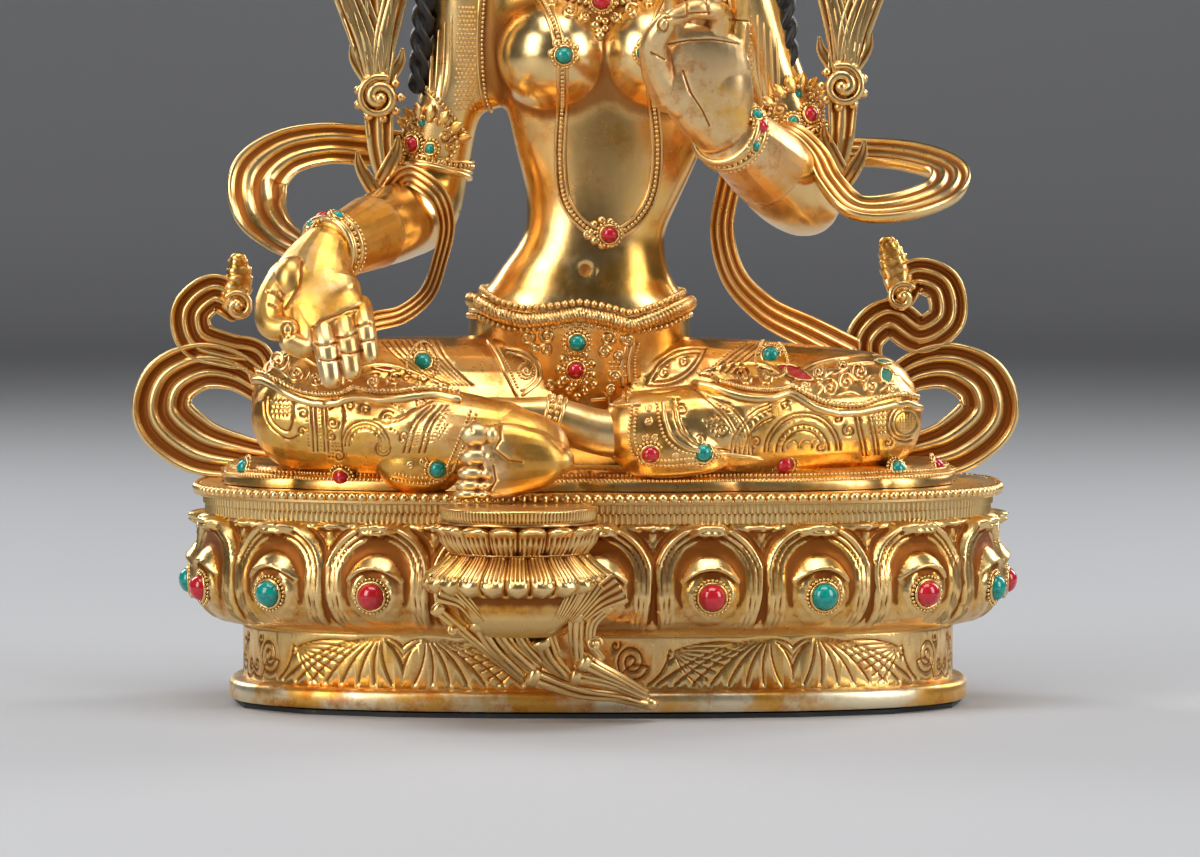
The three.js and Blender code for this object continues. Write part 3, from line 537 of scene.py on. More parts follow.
def petal_inset(share, z):
    x = np.abs((np.mod(share * PETALS + 0.5, 1) - 0.5) * PETAL_PITCH)
    between = PETAL_PITCH / 2 - x
    leaf = np.interp(z, LEAF_HEIGHTS, LEAF_INSETS)
    low = np.clip(LEAF_WIDEST - z, 0, None)
    high = np.clip(z - LEAF_WIDEST, 0, None) / (LEAF_TOP - LEAF_WIDEST)
    half = LEAF_HALF_WIDTH - 2.6 * (low / 16) ** 1.5
    q = np.sqrt((x / half) ** 2 + high**2)
    out = 0.95 * hump(q, 0.95, 0.045) + 0.6 * hump(q, 0.83, 0.035) + 0.5 * hump(q, 0.73, 0.03)
    out -= 0.35 * hump(q, 0.885, 0.025) + 0.3 * hump(q, 0.78, 0.02)
    # the gap between two leaves, with the small leaf that stands in it
    gap = step(q, 0.985, 1.06)
    small = 0.5 * hump(between, 0, 1.1) + 0.45 * hump(q, 1.14, 0.03) + 0.35 * hump(q, 1.26, 0.03)
    curl = 1.9 * step(z, 48.3, 49) * np.clip(1 - (between / 4.6) ** 2, 0, 1)
    sunk = 0.5 + 1.3 * step(z, 36, 44)
    out = out * (1 - gap) + gap * (small + curl - sunk * step(z, 22, 28))
    out -= 1.1 * hump(between, 0, 1.3) * (1 - step(z, 36, 40)) * step(z, 22, 26)
    # the hood, and the socket with its leafy edge
    dome = np.sqrt(np.clip(1 - (x / 7.9) ** 2 - ((z - 33.4) / 9.2) ** 2, 0, None))
    brow = 38.6 - 0.06 * x**2
    over = step(z, brow - 0.35, brow + 0.35)
    drop = np.where(
        z > STONE_HEIGHT, np.sqrt(np.clip(1 - ((z - STONE_HEIGHT) / 6.4) ** 2, 0.001, None)),
        np.clip(1 - (np.clip(STONE_HEIGHT - z, 0, None) / 6.2) ** 1.5, 0.001, None)
    )
    socket = x / (5.9 * drop)
    below = np.clip(STONE_HEIGHT - z, 0, None)
    ring = (1 - step(socket, 0.9, 1.15)) * (z > STONE_HEIGHT - 6.4)
    turn = np.arctan2(x, z - STONE_HEIGHT)
    scallop = 0.5 + 0.5 * np.cos(turn * 13)
    lined = 1.05 + 0.45 * hump(socket, 0.97, 0.12) + 0.3 * scallop * hump(socket, 0.78, 0.14) - 0.05 * below
    out += (1 - over) * (ring * lined + (1 - ring) * dome) + over * 3.3 * dome
    out += 0.75 * hump(z, brow + 0.5, 0.7) * np.clip(1 - (x / 6.2) ** 4, 0, 1)
    # the curled tip
    waved = np.cos(x * 2.1)
    lip = 46.7 + 0.12 * x + 0.35 * waved
    out += (2.7 + 0.3 * waved) * step(z, lip - 0.2, lip + 0.6) * np.clip(1 - (x / 5.2) ** 3, 0, 1) ** 0.7
    return leaf - out


PETAL_COLUMNS = 44
petal_heights = np.linspace(21.2, 50.6, 62)
petals = ring_band(
    "pedestal_petals", PETALS * PETAL_COLUMNS, petal_heights, petal_inset,
    [(16, 50.7), (20, 46), (20, 26), (17, 21)]
)
finished(petals, "lotus_pedestal", reach=10, thin=0.55)

# %% [markdown]
# ## The foot of the pedestal
# Under the petals stand a plain wall and a rounded slab. The wall's scrolls and fans are cut with a
# chisel. They are drawn once on a sheet, then pressed into the wall, so its grid is fine.


# %% A sheet of chased lines
class ChasingSheet:
    """Raised or cut lines on a flat sheet, in millimetres, that can be pressed into a surface."""

    def __init__(self, low, high, fine=0.1):
        self.low = np.array(low, float)
        self.fine = fine
        size = np.ceil((np.array(high) - self.low) / fine).astype(int) + 1
        self.raised = np.zeros(size)
        self.cut = np.zeros(size)

    def line(self, points, width=0.72, height=-0.34):
        points = np.asarray(points, float)
        steps = np.hypot(*np.diff(points, axis=0).T)
        along = np.concatenate([[0], np.cumsum(steps)])
        count = max(2, int(along[-1] / (self.fine * 0.8)))
        where = np.linspace(0, along[-1], count)
        dense = rows_of(*(np.interp(where, along, points[:, k]) for k in range(2)))
        self.dots(dense, width, height)

    def curve(self, *points):
        """A smooth line through a few points"""
        self.line(curve(*points))

    def spirals(self, *rows):
        for row in rows:
            self.line(spiral(*row))

    def dots(self, points, width, height):
        points = (np.atleast_2d(points) - self.low) / self.fine
        reach = width / 2 / self.fine
        sheet = self.raised if height > 0 else self.cut
        whole = np.rint(points).astype(int)
        span = int(math.ceil(reach))
        for i in range(-span, span + 1):
            for j in range(-span, span + 1):
                cell = whole + (i, j)
                far = np.hypot(*(cell - points).T) / reach
                ok = (far < 1) & (cell >= 0).all(1) & (cell < sheet.shape).all(1)
                np.maximum.at(sheet, tuple(cell[ok].T), abs(height) * (1 - far[ok] ** 2))

    def at(self, x, y):
        fx = (np.asarray(x) - self.low[0]) / self.fine
        fy = (np.asarray(y) - self.low[1]) / self.fine
        i, j = np.floor(fx).astype(int), np.floor(fy).astype(int)
        size = self.raised.shape
        inside = (i >= 0) & (j >= 0) & (i < size[0] - 1) & (j < size[1] - 1)
        i, j = np.clip(i, 0, size[0] - 2), np.clip(j, 0, size[1] - 2)
        a, b = fx - i, fy - j
        sheet = self.raised - self.cut
        mixed = (sheet[i, j] * (1 - a) + sheet[i + 1, j] * a) * (1 - b)
        mixed += (sheet[i, j + 1] * (1 - a) + sheet[i + 1, j + 1] * a) * b
        return np.where(inside, mixed, 0)


def spiral(x, y, radius, turns=1.8, start=0.0, hand=1, inner=0.12):
    """A spiral from its eye outwards, as chisellers cut it"""
    t = np.linspace(0, 1, int(40 * turns))
    angle = start + hand * (t - 1) * turns * ROUND
    reach = radius * (inner + (1 - inner) * t)
    return rows_of(x + reach * np.cos(angle), y + reach * np.sin(angle))


def bow(start, end, sag):
    """A curved line from start to end that swings out by sag to its left"""
    start, end = np.array(start, float), np.array(end, float)
    t = np.linspace(0, 1, 24)[:, None]
    way = end - start
    side = np.array([-way[1], way[0]]) / max(np.hypot(*way), 1e-6)
    return start + way * t + side * sag * 4 * t * (1 - t)


FINE = {"width": 0.55, "height": -0.26}
DOT = {"width": 0.62, "height": -0.28}


def pressed(piece, sheet):
    """Presses a sheet into the faces that look to the front"""
    points = points_of(piece)
    normals = normals_of(piece)
    facing = step(-normals[:, 1], 0.05, 0.4)
    set_points(piece, points + normals * (sheet.at(points[:, 0], points[:, 2]) * facing)[:, None])


# %% Wall and slab
WALL_LOW, WALL_HIGH = 7, 21.8
WALL_INSET = 14.6
WALL_UNITS = 10
UNIT = EDGE / WALL_UNITS
wall_lines = ChasingSheet((-2, WALL_LOW), (UNIT + 2, WALL_HIGH))
CUT = {"width": 0.75, "height": -0.34}
chased = [
    spiral(10, 14.4, 5.0, 2.1, -0.4), bow((15, 13), (6, 8.6), -2.6), bow((6, 8.6), (-1, 10.5), 1),
    spiral(2.2, 11.8, 1.9, 1.4, 3.4, -1), spiral(5.2, 18.6, 1.6, 1.2, 0.6), spiral(21.2, 15.8, 1.6, 1.2, 1.6),
    bow((21.2, 17.4), (14.6, 8.4), 1.4), bow((46, 19.4), (52, 20.4), -0.8)
]
for k in range(7):
    fan = k / 6
    chased.append(bow((22.8, 17.2 - fan), (45 - 15 * fan, 18.6 - 10.4 * fan), 1.4 - 2.2 * fan))
for k in range(8):
    fan = k / 7
    chased.append(bow((50 + 1.5 * fan, 20.4), (17 + 38 * fan, 8.2), -2.2 + 1.2 * fan))
for k in range(4):
    chased.append(bow((52 + k * 1.2, 20.2 - k), (58.8, 17.5 - 3 * k), 0.7))
for line in chased:
    wall_lines.line(line, **CUT)


def wall_inset(share, z):
    unit = share * WALL_UNITS
    along = np.mod(unit, 1)
    along = np.where(np.mod(np.floor(unit), 2) == 1, 1 - along, along) * UNIT
    lines = wall_lines.at(along, z)
    return WALL_INSET - lines + 0.4 * step(z, 20.6, 21.6)


wall = ring_band(
    "pedestal_wall", 1420, np.linspace(WALL_LOW, WALL_HIGH, 40), wall_inset, [(20, WALL_HIGH), (20, WALL_LOW)]
)
finished(wall, reach=10, thin=0.5)

SLAB = [
    (13.2, 1.5), (11.4, 1.7), (10.9, 2.4), (10.9, 5.6), (11.3, 6.4), (12.2, 6.9), (13.6, 7.1), (15.2, 7.3)
]


def profile_ring(name, columns, profile):
    """A ring whose section is a closed outline of insets and heights"""
    outline = np.array(list(profile) + [profile[0]], float)

    def place(u, v):
        row = np.rint(v * (len(outline) - 1)).astype(int)
        inset, z = outline[row].T
        x, y = plan(turn_at(u), inset)
        return rows_of(x, y, z)

    return bent_sheet(name, columns, len(outline) - 1, place)


slab = profile_ring("pedestal_slab", 260, SLAB + [(22, 7.3), (22, 1.5)])
WORN_GILT = gilding("worn_gilt", roughness=0.34, warmth=0.2, wear_and_highlight=0.5, silver=0.95)
finished(slab, material=WORN_GILT, smooth_angle=40)

# %% [markdown]
# ## Filaments, rim and seat
# Over the petals runs a band of stamens in two rows of small teeth, then the rim with its row of long
# beads, and the flat seat. One bead is modelled and copied along the rim.

# %% Filament band
TEETH = 372


def filament_inset(share, z):
    upper = z > 52.9
    wave = np.cos(ROUND * (share * TEETH + 0.5 * upper))
    return 5.2 - 0.45 * np.sign(wave) * np.abs(wave) ** 0.5 - 0.5 * upper


filaments = ring_band(
    "pedestal_filaments", TEETH * 4, [50.2, 50.5, 52.7, 52.85, 52.95, 53.1, 55.1, 55.4], filament_inset,
    [(16, 55.4), (16, 50.2)]
)
finished(filaments, reach=3)

rim = profile_ring("pedestal_rim", 300, [
    (2.6, 55.2), (1.9, 55.5), (1.9, 56.1), (2.8, 56.4), (3.2, 57.6), (4.4, 58), (60, 58), (60, 52), (8, 52),
    (8, 55.2)
])
finished(rim, reach=3, smooth_angle=50)


def one_bead(segments=8, rings=5):
    bpy.ops.object.select_all(action="DESELECT")
    bpy.ops.mesh.primitive_uv_sphere_add(segments=segments, ring_count=rings, radius=1)
    bead = bpy.context.object
    points = points_of(bead) * MM
    faces = [tuple(face.vertices) for face in bead.data.polygons]
    bpy.data.objects.remove(bead)
    return points, faces


def copies(name, shape, frames):
    """Copies of one small shape, each placed by a 3 by 4 frame of millimetres, as one mesh"""
    points, faces = shape
    frames = np.asarray(frames, float)
    placed = np.einsum("nij,pj->npi", frames[:, :, :3], points) + frames[:, None, :, 3]
    size = len(points)
    sides = {}
    for face in faces:
        sides.setdefault(len(face), []).append(face)
    every = []
    for group in sides.values():
        group = np.array(group)
        shifted = group[None] + (np.arange(len(frames)) * size)[:, None, None]
        every.extend(map(tuple, shifted.reshape(-1, group.shape[1]).tolist()))
    mesh = bpy.data.meshes.new(name)
    mesh.from_pydata((placed.reshape(-1, 3) * MM).tolist(), [], every)
    mesh.validate()
    piece = bpy.data.objects.new(name, mesh)
    bpy.context.scene.collection.objects.link(piece)
    return piece


def bead_frames(points, size):
    """Frames that set beads of size (along, out, up) at points, turned to the way they follow"""
    points = np.asarray(points, float)
    size = np.broadcast_to(size, (len(points), 3))
    way = np.gradient(points, axis=0)
    way /= np.maximum(np.linalg.norm(way, axis=1, keepdims=True), 1e-9)
    up = np.tile([0.0, 0.0, 1.0], (len(points), 1))
    up[np.abs(way[:, 2]) > 0.9] = (0, 1, 0)
    out = np.cross(up, way)
    out /= np.linalg.norm(out, axis=1, keepdims=True)
    up = np.cross(way, out)
    frames = np.empty((len(points), 3, 4))
    for k, axis in enumerate((way, out, up)):
        frames[:, :, k] = axis * size[:, k : k + 1]
    frames[:, :, 3] = points
    return frames


RIM_BEADS = 206
bead_shares = np.arange(RIM_BEADS) / RIM_BEADS
bead_x, bead_y = plan(turn_at(bead_shares), 2.7)
rim_points = rows_of(bead_x, bead_y, 56.9)
rim_beads = copies("pedestal_beads", one_bead(10, 7), bead_frames(rim_points, (1.36, 1.25, 1.3)))
finished(rim_beads, reach=1)

# %% Closing plate
plate = frame["nodes"]["closing_plate"]
plate.data.materials.clear()
plate.data.materials.append(DARK_PLATE)

# %% [markdown]
# ## Limbs from stations
# A limb is a smooth tube through stations. Each station gives a centre, a half width and a half thickness,
# and a spline runs through them all, so the widths flow as the centreline does. Nearly all of them are
# the very stations of the solids.


# %% Splines and limbs
def spline(stations):
    """A centripetal curve through the stations: call it with shares from 0 to 1"""
    knots = np.array(stations, float)
    knots = np.vstack([2 * knots[0] - knots[1], knots, 2 * knots[-1] - knots[-2]])
    gaps = np.maximum(np.linalg.norm(np.diff(knots[:, :3], axis=0), axis=1) ** 0.5, 1e-3)

    def at(share):
        place = np.clip(np.asarray(share, float), 0, 1) * (len(knots) - 3)
        k = np.minimum(place.astype(int), len(knots) - 4)
        w = (place - k)[:, None]
        x0, x1, x2, x3 = (knots[k + i] for i in range(4))
        d0, d1, d2 = (gaps[k + i][:, None] for i in range(3))
        t1 = ((x1 - x0) / d0 - (x2 - x0) / (d0 + d1) + (x2 - x1) / d1) * d1
        t2 = ((x2 - x1) / d1 - (x3 - x1) / (d1 + d2) + (x3 - x2) / d2) * d1
        w2, w3 = w * w, w * w * w
        return (2 * w3 - 3 * w2 + 1) * x1 + (w3 - 2 * w2 + w) * t1 + (3 * w2 - 2 * w3) * x2 + (w3 - w2) * t2

    return at


UP = (0, 0, 1)
BACK = (0, 1, 0)
FACING = (0, -1, 0)
CAP_SHARE = 0.12


def placed_mm(stations):
    """Stations whose half thickness is the half width where it isn't given"""
    return np.array([list(s) + [s[3]] * (5 - len(s)) for s in stations], float)


def stations_mm(stations):
    rows = placed_mm(stations)
    rows[:, :3] = on_figure(rows[:, :3])
    rows[:, 3:] *= PART
    return rows


def limb_frame(path, share, up):
    """Centres, half sizes and axes of a limb at shares of its length"""
    here = path(share)
    ahead = path(share + 1e-3)[:, :3] - path(share - 1e-3)[:, :3]
    ahead /= np.maximum(np.linalg.norm(ahead, axis=1, keepdims=True), 1e-9)
    across = np.cross(np.broadcast_to(up, ahead.shape), ahead)
    across /= np.maximum(np.linalg.norm(across, axis=1, keepdims=True), 1e-9)
    return here[:, :3], here[:, 3:5], across, np.cross(ahead, across), ahead


def circle(angle, along=0):
    return np.cos(angle), np.sin(angle)


def section(points):
    """A limb's outline from a closed row of points, for a limb with as many columns"""
    points = np.array(points, float)

    def outline(angle, along):
        return points[np.rint(angle / ROUND * len(points)).astype(int) % len(points)].T

    outline.columns = len(points)
    return outline


def twisted(strands, turns, depth=0.3):
    """The outline of a rope: as many lobes as strands, that turn as they run along"""
    def outline(angle, along):
        reach = 1 - depth * (0.5 - 0.5 * np.cos(strands * (angle - along * turns * ROUND))) ** 1.5
        return reach * np.cos(angle), reach * np.sin(angle)

    return outline


def ribbon(ridges, deep=0.45, hollow=0.3, fine=6):
    """A folded cloth's section: ridges along its face, rolled edges and a flat back"""
    side = np.linspace(1, -1, (ridges - 1) * fine + 1)
    wave = 0.5 - 0.5 * np.cos(math.pi * (ridges - 1) * (1 - side))
    face = 1 - hollow * (1 - side**2) - deep * wave
    back = [(-1.08, 0.3), (-1, -0.7), (-0.5, -1), (0.5, -1), (1, -0.7), (1.08, 0.3)]
    return section(list(zip(side, face)) + back)


def limb(
    stations, up=UP, columns=24, rows=48, caps=(1, 1), outline=circle, name="limb", place=stations_mm, grow=0
):
    """A tube along the stations of [x, y, z, half width, half thickness], with rounded ends"""
    path = spline(place(stations))
    columns = getattr(outline, "columns", columns)

    def at(u, v):
        t = np.clip((v - CAP_SHARE) / (1 - 2 * CAP_SHARE), 0, 1)
        start = np.clip(v / CAP_SHARE, 0, 1) * math.pi / 2
        end = np.clip((1 - v) / CAP_SHARE, 0, 1) * math.pi / 2
        centre, half, across, lift, ahead = limb_frame(path, t, up)
        half = half + grow
        shrink = np.minimum(np.sin(start), np.sin(end))[:, None]
        shift = (np.cos(end) * caps[1] - np.cos(start) * caps[0]) * half.min(1)
        s, h = outline(u * ROUND, t)
        points = centre + ahead * shift[:, None]
        points += across * (s * half[:, 0])[:, None] * shrink
        return points + lift * (h * half[:, 1])[:, None] * shrink

    return bent_sheet(name, columns, rows, at)


def ball(x, y, z, rx, ry, rz):
    """A round lump of the figure, in parts"""
    bpy.ops.object.select_all(action="DESELECT")
    centre = on_figure([x, y, z]) * MM
    fine = max(rx, ry, rz) > 2
    bpy.ops.mesh.primitive_uv_sphere_add(
        segments=32 if fine else 12, ring_count=20 if fine else 8, radius=1, location=centre
    )
    bpy.context.object.scale = np.array([rx, ry, rz]) * PART * MM
    bpy.ops.object.transform_apply(location=True, rotation=True, scale=True)
    return bpy.context.object


def grain(point, size, deep):
    """A ball at a point in millimetres, with its half sizes in parts"""
    x, y, z = point
    return ball(x / PART, y / PART, (z - SEAT) / PART, size, deep, size)


def ring_of(count, reach, start=0):
    """Places round a ring, as pairs to add to its middle"""
    turns = [(k + start) / count * ROUND for k in range(count)]
    return [(reach * math.cos(turn), reach * math.sin(turn)) for turn in turns]


def levels(stations, columns=48, rows=80, name="levels"):
    """A body of level rings of [z, x, y, half width, half depth, rise at the sides]"""
    knots = np.array([list(s) + [0.0] * (6 - len(s)) for s in stations], float)
    path = spline(knots[:, [1, 2, 0, 3, 4, 5]])

    def at(u, v):
        here = path(np.clip(v * 1.08 - 0.04, 0, 1))
        shrink = np.minimum(step(v, -0.001, 0.04), step(1 - v, -0.001, 0.04))
        c, s = circle(u * ROUND)
        x = here[:, 0] + c * here[:, 3] * shrink
        y = here[:, 1] + s * here[:, 4] * shrink
        return on_figure(rows_of(x, y, here[:, 2] + here[:, 5] * np.abs(c) ** 3))

    return bent_sheet(name, columns, rows, at)


# %% [markdown]
# ## The body
# The torso is a stack of level rings, the arms are limbs, the breasts are balls, and all are fused into
# one skin by a voxel remesh, then smoothed, as wax is with a warm spatula. The hands and the head are
# skins of their own with finer voxels: bracelets and a necklace cover the joins.

# %% Torso and arms
TORSO = [
    [1, -3, 15, 27, 18], [10, -3, 15, 35, 24.4], [24, -3.6, 11.6, 34, 23.6], [34, -5, 7.4, 30.2, 20.2],
    [42, -4.9, 5.4, 29.2, 19.8], [48, -4.6, 4.4, 28, 18.8], [51.5, -4.2, 3.8, 24.4, 16.8],
    [56, -3.4, 2.8, 22.2, 15.8], [64, -1.2, 2.2, 18.8, 14.2], [73, 1.2, 2.4, 20.1, 14.2],
    [90, 2.9, 2.9, 25.6, 15.2], [112, 1.8, 3.6, 29.5, 16], [128, 1.6, 4.4, 33, 15.6], [138, 1.6, 5, 36, 14],
    [147, 1.6, 5.4, 29, 12.4], [155, 1.6, 4.4, 13, 10.8], [165, 1.6, 2.6, 9.8, 9.8], [178, 1.6, 1.5, 10.4, 11]
]
RIGHT_ARM = [
    [-29, 5.6, 142.4, 9], [-33.4, 6.8, 129, 9.8], [-35.6, 8, 110.6, 8.8], [-40.3, 9.5, 95, 8.9],
    [-43, 11, 81.7, 9.2], [-46, 8, 71, 9.8], [-52, -6, 68, 10.4], [-58.5, -22, 65.6, 9.8],
    [-65, -33, 62.8, 8.4], [-70, -40, 61.4, 7.6]
]
LEFT_ARM = [
    [32.2, 5.6, 142.4, 9], [38.2, 6.8, 129, 9.8], [44, 8, 111, 8.8], [49.5, 9, 96, 8.9], [54, 9, 83, 9.2],
    [56, 5, 74, 9.8], [51, -8, 76, 10.8], [43.5, -24, 83, 10.8], [36.6, -39, 89, 9.4], [32.4, -46, 92.6, 8.6]
]
body = fused("bare_body", [
    levels(TORSO), ball(-11.4, -5.6, 111.6, 15.4, 16.4, 15), ball(14.8, -5.6, 112, 15.2, 16.4, 15),
    limb([[-25, 5, 121, 7.4], [-27, 7, 110, 6.8], [-28.8, 8, 101, 5.2]], BACK, caps=(1, 0.8)),
    limb([[29.4, 5, 121, 7.4], [32, 7, 111, 6.6], [34.6, 8, 104, 5]], BACK, caps=(1, 0.8)),
    ball(-28, 5.4, 141, 10.4, 10, 9.6), ball(31.2, 5.4, 141, 10.4, 10, 9.6),
    limb(RIGHT_ARM, BACK, caps=(1, 0)), limb(LEFT_ARM, BACK, caps=(1, 0))
], voxel=0.85, smooth=70)


def press_navel(piece):
    points = points_of(piece)
    navel = on_figure([-3.4, 0, 55.5])
    far = np.hypot(points[:, 0] - navel[0], points[:, 2] - navel[2])
    front = points[:, 1] < 0
    points[:, 1] += np.where(front, 0.9 * hump(far, 0, 1.5) - 0.15 * hump(far, 3.0, 1.5), 0)
    set_points(piece, points)


press_navel(body)
finished(body, "tara_figure", material=GILT_POLISHED, reach=10, thin=0.28)

# %% Hands
RIGHT_PALM = [
    [-70, -40, 61.4, 7.6, 6.4], [-72.6, -44.5, 57.4, 10.2, 5.4], [-74, -49.5, 51.5, 12.6, 4.8],
    [-72, -54, 45.8, 12.3, 4.2], [-68.4, -57, 42, 11.2, 3.5]
]
LEFT_PALM = [
    [32.4, -46, 92.6, 8.6, 6.6], [29.6, -49, 98.5, 11, 5.6], [27, -51.5, 106, 12.4, 4.8],
    [27.4, -53, 112, 11.4, 3.9], [28.4, -53.5, 116, 10, 3.3]
]
RIGHT_FINGERS = [
    [[-70.6, -55, 44, 3.3], [-69.2, -60.5, 37.5, 3.1], [-67.8, -63, 29.4, 2.6]],
    [[-65.4, -55, 45.5, 3.2], [-64, -60.5, 39, 2.9], [-62.6, -63, 31.4, 2.5]],
    [[-60.6, -54, 47.4, 2.8], [-59.2, -58.8, 41.6, 2.6], [-58, -60.6, 35, 2.2]],
    [[-76, -53.5, 45.5, 3.3], [-75.2, -59.5, 37.4, 3.1], [-78.4, -61.4, 38.4, 2.6]],
    [[-80, -46, 54, 4.8], [-83.6, -51, 47.5, 4.1], [-83, -56.5, 42.4, 3.4], [-79, -59.5, 41.6, 2.8]]
]
LEFT_FINGERS = [
    [[21.4, -52.5, 113, 3], [19.8, -53.4, 123, 2.8], [19.6, -56.5, 131.4, 2.3]],
    [[26, -52.5, 115, 3], [25.6, -53, 127, 2.8], [25.4, -56.4, 136.4, 2.3]],
    [[30.6, -52.5, 115, 3.1], [30.8, -56.4, 122, 2.9], [25, -60.6, 123, 2.6], [19.4, -61.4, 121, 2.2]],
    [[35.4, -52, 112, 2.8], [36.2, -53, 121, 2.5], [36.6, -55.4, 128.6, 2.1]],
    [[18.4, -50, 101.5, 5], [14.8, -54.5, 108.6, 3.9], [14.4, -58.4, 115, 3.3], [17.2, -60.4, 119.6, 2.7]]
]
RIGHT_CREASES = [
    [(-75.7, 116.9), (-75.7, 113.5), (-76.2, 110.7), (-77.9, 108), (-79.8, 105)],
    [(-72.4, 100.4), (-70.7, 102), (-68, 103.1), (-65.6, 103.8), (-63.9, 104.7), (-61, 105.4)],
    [(-71.8, 96.2), (-69, 96), (-66.6, 96.6)], [(-70.6, 92.3), (-68.2, 92), (-65.4, 92.7)],
    [(-66.4, 98), (-64.2, 98), (-61.4, 99)], [(-65.2, 94.2), (-62.8, 93.9), (-60, 94.6)],
    [(-61.4, 100.8), (-57.6, 101.6)], [(-60.2, 96.8), (-56.6, 97.4)],
    [(-84.4, 109.4), (-82.4, 108.8), (-80.6, 107)], [(-84, 106.2), (-82, 105.4)]
]
LEFT_CREASES = [
    [(28.4, 151.6), (26.6, 155.4), (23.6, 160), (21.6, 165.6)],
    [(17.6, 172.4), (23, 173.4), (29, 173.6), (35.4, 172.6)], [(17, 179), (22.6, 179.4)],
    [(23.2, 180.2), (28.4, 180.2)], [(22.4, 184.6), (22.6, 179.4)], [(27.4, 184.2), (28.2, 179.8)],
    [(33.6, 178.6), (38.8, 178.2)], [(13.4, 170.2), (17, 168.4)]
]
NAILS = {"right_hand": (-78.9, 99.7, 1.35, 1.9), "left_hand": (16.6, 177.2, 1.3, 1.6)}


def hand(name, palm, fingers, facing, arm, creases, mounds):
    parts = [limb(palm, facing, 24, 30), limb(arm[-3:], BACK, 24, 16, caps=(1, 0.2)), *mounds]
    parts += [limb(finger, facing, 14, 24, grow=0.2) for finger in fingers]
    made = fused(name, parts, voxel=0.27, smooth=5)
    x, z, rx, rz = NAILS[name]
    turn = np.linspace(0, ROUND, 20)
    sheet = ChasingSheet(
        (min(x - 12, -92 if x < 0 else 8), 86 if x < 0 else 146), (x + 30, 124 if x < 0 else 196)
    )
    for line in creases + [rows_of(x + rx * np.cos(turn), z + rz * np.sin(turn))]:
        sheet.line(line, 0.8, -0.36)
    pressed(made, sheet)
    return finished(made, material=GILT_RUBBED, reach=12, thin=0.15)


hand(
    "right_hand", RIGHT_PALM, RIGHT_FINGERS, (-0.35, -0.8, 0.5), RIGHT_ARM, RIGHT_CREASES,
    [ball(-78.4, -48, 53, 5, 6, 7), ball(-67.4, -50, 50.5, 7, 5, 7)]
)
hand(
    "left_hand", LEFT_PALM, LEFT_FINGERS, FACING, LEFT_ARM, LEFT_CREASES,
    [ball(21, -51.4, 104, 6, 4.6, 9), ball(32.6, -51, 105, 6, 4.6, 10)]
)

# %% [markdown]
# ## Legs
# The right leg is let down in front, and the left one is folded. Thigh and shank are fused into one skin
# for each leg, fine enough to carry the chased cloth. The foot that rests on the small lotus shows its
# sole, so its toes stack up one over another.

# %% Legs
RIGHT_THIGH = [[-14, 8, 19, 18.5], [-38, -5, 20.5, 17.6], [-60, -19, 21.5, 16.6], [-74, -29, 21.6, 15.8]]
RIGHT_SHANK = [[-75, -33, 18, 14.6], [-56, -43, 15.6, 13], [-38, -51, 15, 11], [-24, -56.5, 14.6, 8.6]]
LEFT_THIGH = [[8, 8, 19, 18.5], [32, -1, 20.4, 17], [54, -11, 20.6, 15.4], [69, -18, 20, 14.6]]
LEFT_SHANK = [[70, -24, 17, 14.2], [50, -36, 16, 13.8], [30, -44, 15.4, 12.4], [11, -48.5, 15.2, 10.4]]
LEFT_ANKLE = [
    [14, -47, 14.6, 7.4], [1, -50.5, 14.9, 6], [-12.4, -51.4, 19, 5.2], [-20.7, -52, 20.8, 5, 3.2],
    [-27.4, -53, 22, 4, 2.2]
]
RIGHT_FOOT = [[-24, -57, 14.6, 8, 8], [-15, -62.4, 12.8, 7.2, 6.6], [-13, -68.4, 9.6, 6, 5.6]]
RIGHT_SOLE = [
    [-9.8, -69, 8.8, 3.8, 4.6], [-13, -70, 8.8, 6.8, 5.4], [-18, -70.6, 8.9, 8.6, 5.2],
    [-23.2, -71.2, 8.8, 9.6, 4.4], [-28.6, -71.6, 8, 9.2, 3.4]
]
TOES = [
    [-30.6, 15.4, 4.4, 3.2], [-31, 9.9, 4.1, 2.45], [-31.8, 5.7, 3.8, 2], [-32.6, 2.7, 3.6, 1.7],
    [-33.2, 0.4, 3.3, 1.4]
]

CLOTH_VOXEL = 0.34
right_leg = fused(
    "right_leg_cloth", [limb(RIGHT_THIGH), limb(RIGHT_SHANK), ball(-45, -50, 7, 12, 8, 8.5)],
    voxel=CLOTH_VOXEL, smooth=14
)
CLOTH_END = limb([
    [20, -49.2, 16, 12.4, 8], [20, -50, 11, 14.2, 9.4], [20.4, -49.4, 6.4, 14, 8.4]
], FACING, caps=(1, 0.35))
left_leg = fused(
    "left_leg_cloth", [limb(LEFT_THIGH), limb(LEFT_SHANK), CLOTH_END], voxel=CLOTH_VOXEL, smooth=14
)
ankle = fused("left_ankle", [limb(LEFT_ANKLE)], voxel=0.6, smooth=4)
finished(ankle, material=GILT_RUBBED, thin=0.4)
toes = [ball(x, -72.4, z, rx, 3.2, rz) for x, z, rx, rz in TOES]
toes += [ball(x + 3.9, -72.4, z - 0.1, 2.2, 3.1, rz * 0.85) for x, z, rx, rz in TOES]
foot = fused(
    "right_foot", [limb(RIGHT_FOOT), limb(RIGHT_SOLE, FACING, caps=(1, 0.3))] + toes, voxel=0.3, smooth=4
)
foot_sheet = ChasingSheet((-42, 54), (-4, 80))
for line in (
    [(-24.6, 76.2), (-24.5, 72.8), (-26.1, 70.2), (-22.4, 67.3), (-19.1, 66.9)],
    [(-34.6, 75.8), (-32.4, 76), (-31.8, 74.6)], [(-26.4, 66), (-25.8, 62.2), (-27.2, 59.8)]
):
    foot_sheet.line(line, 0.8, -0.34)
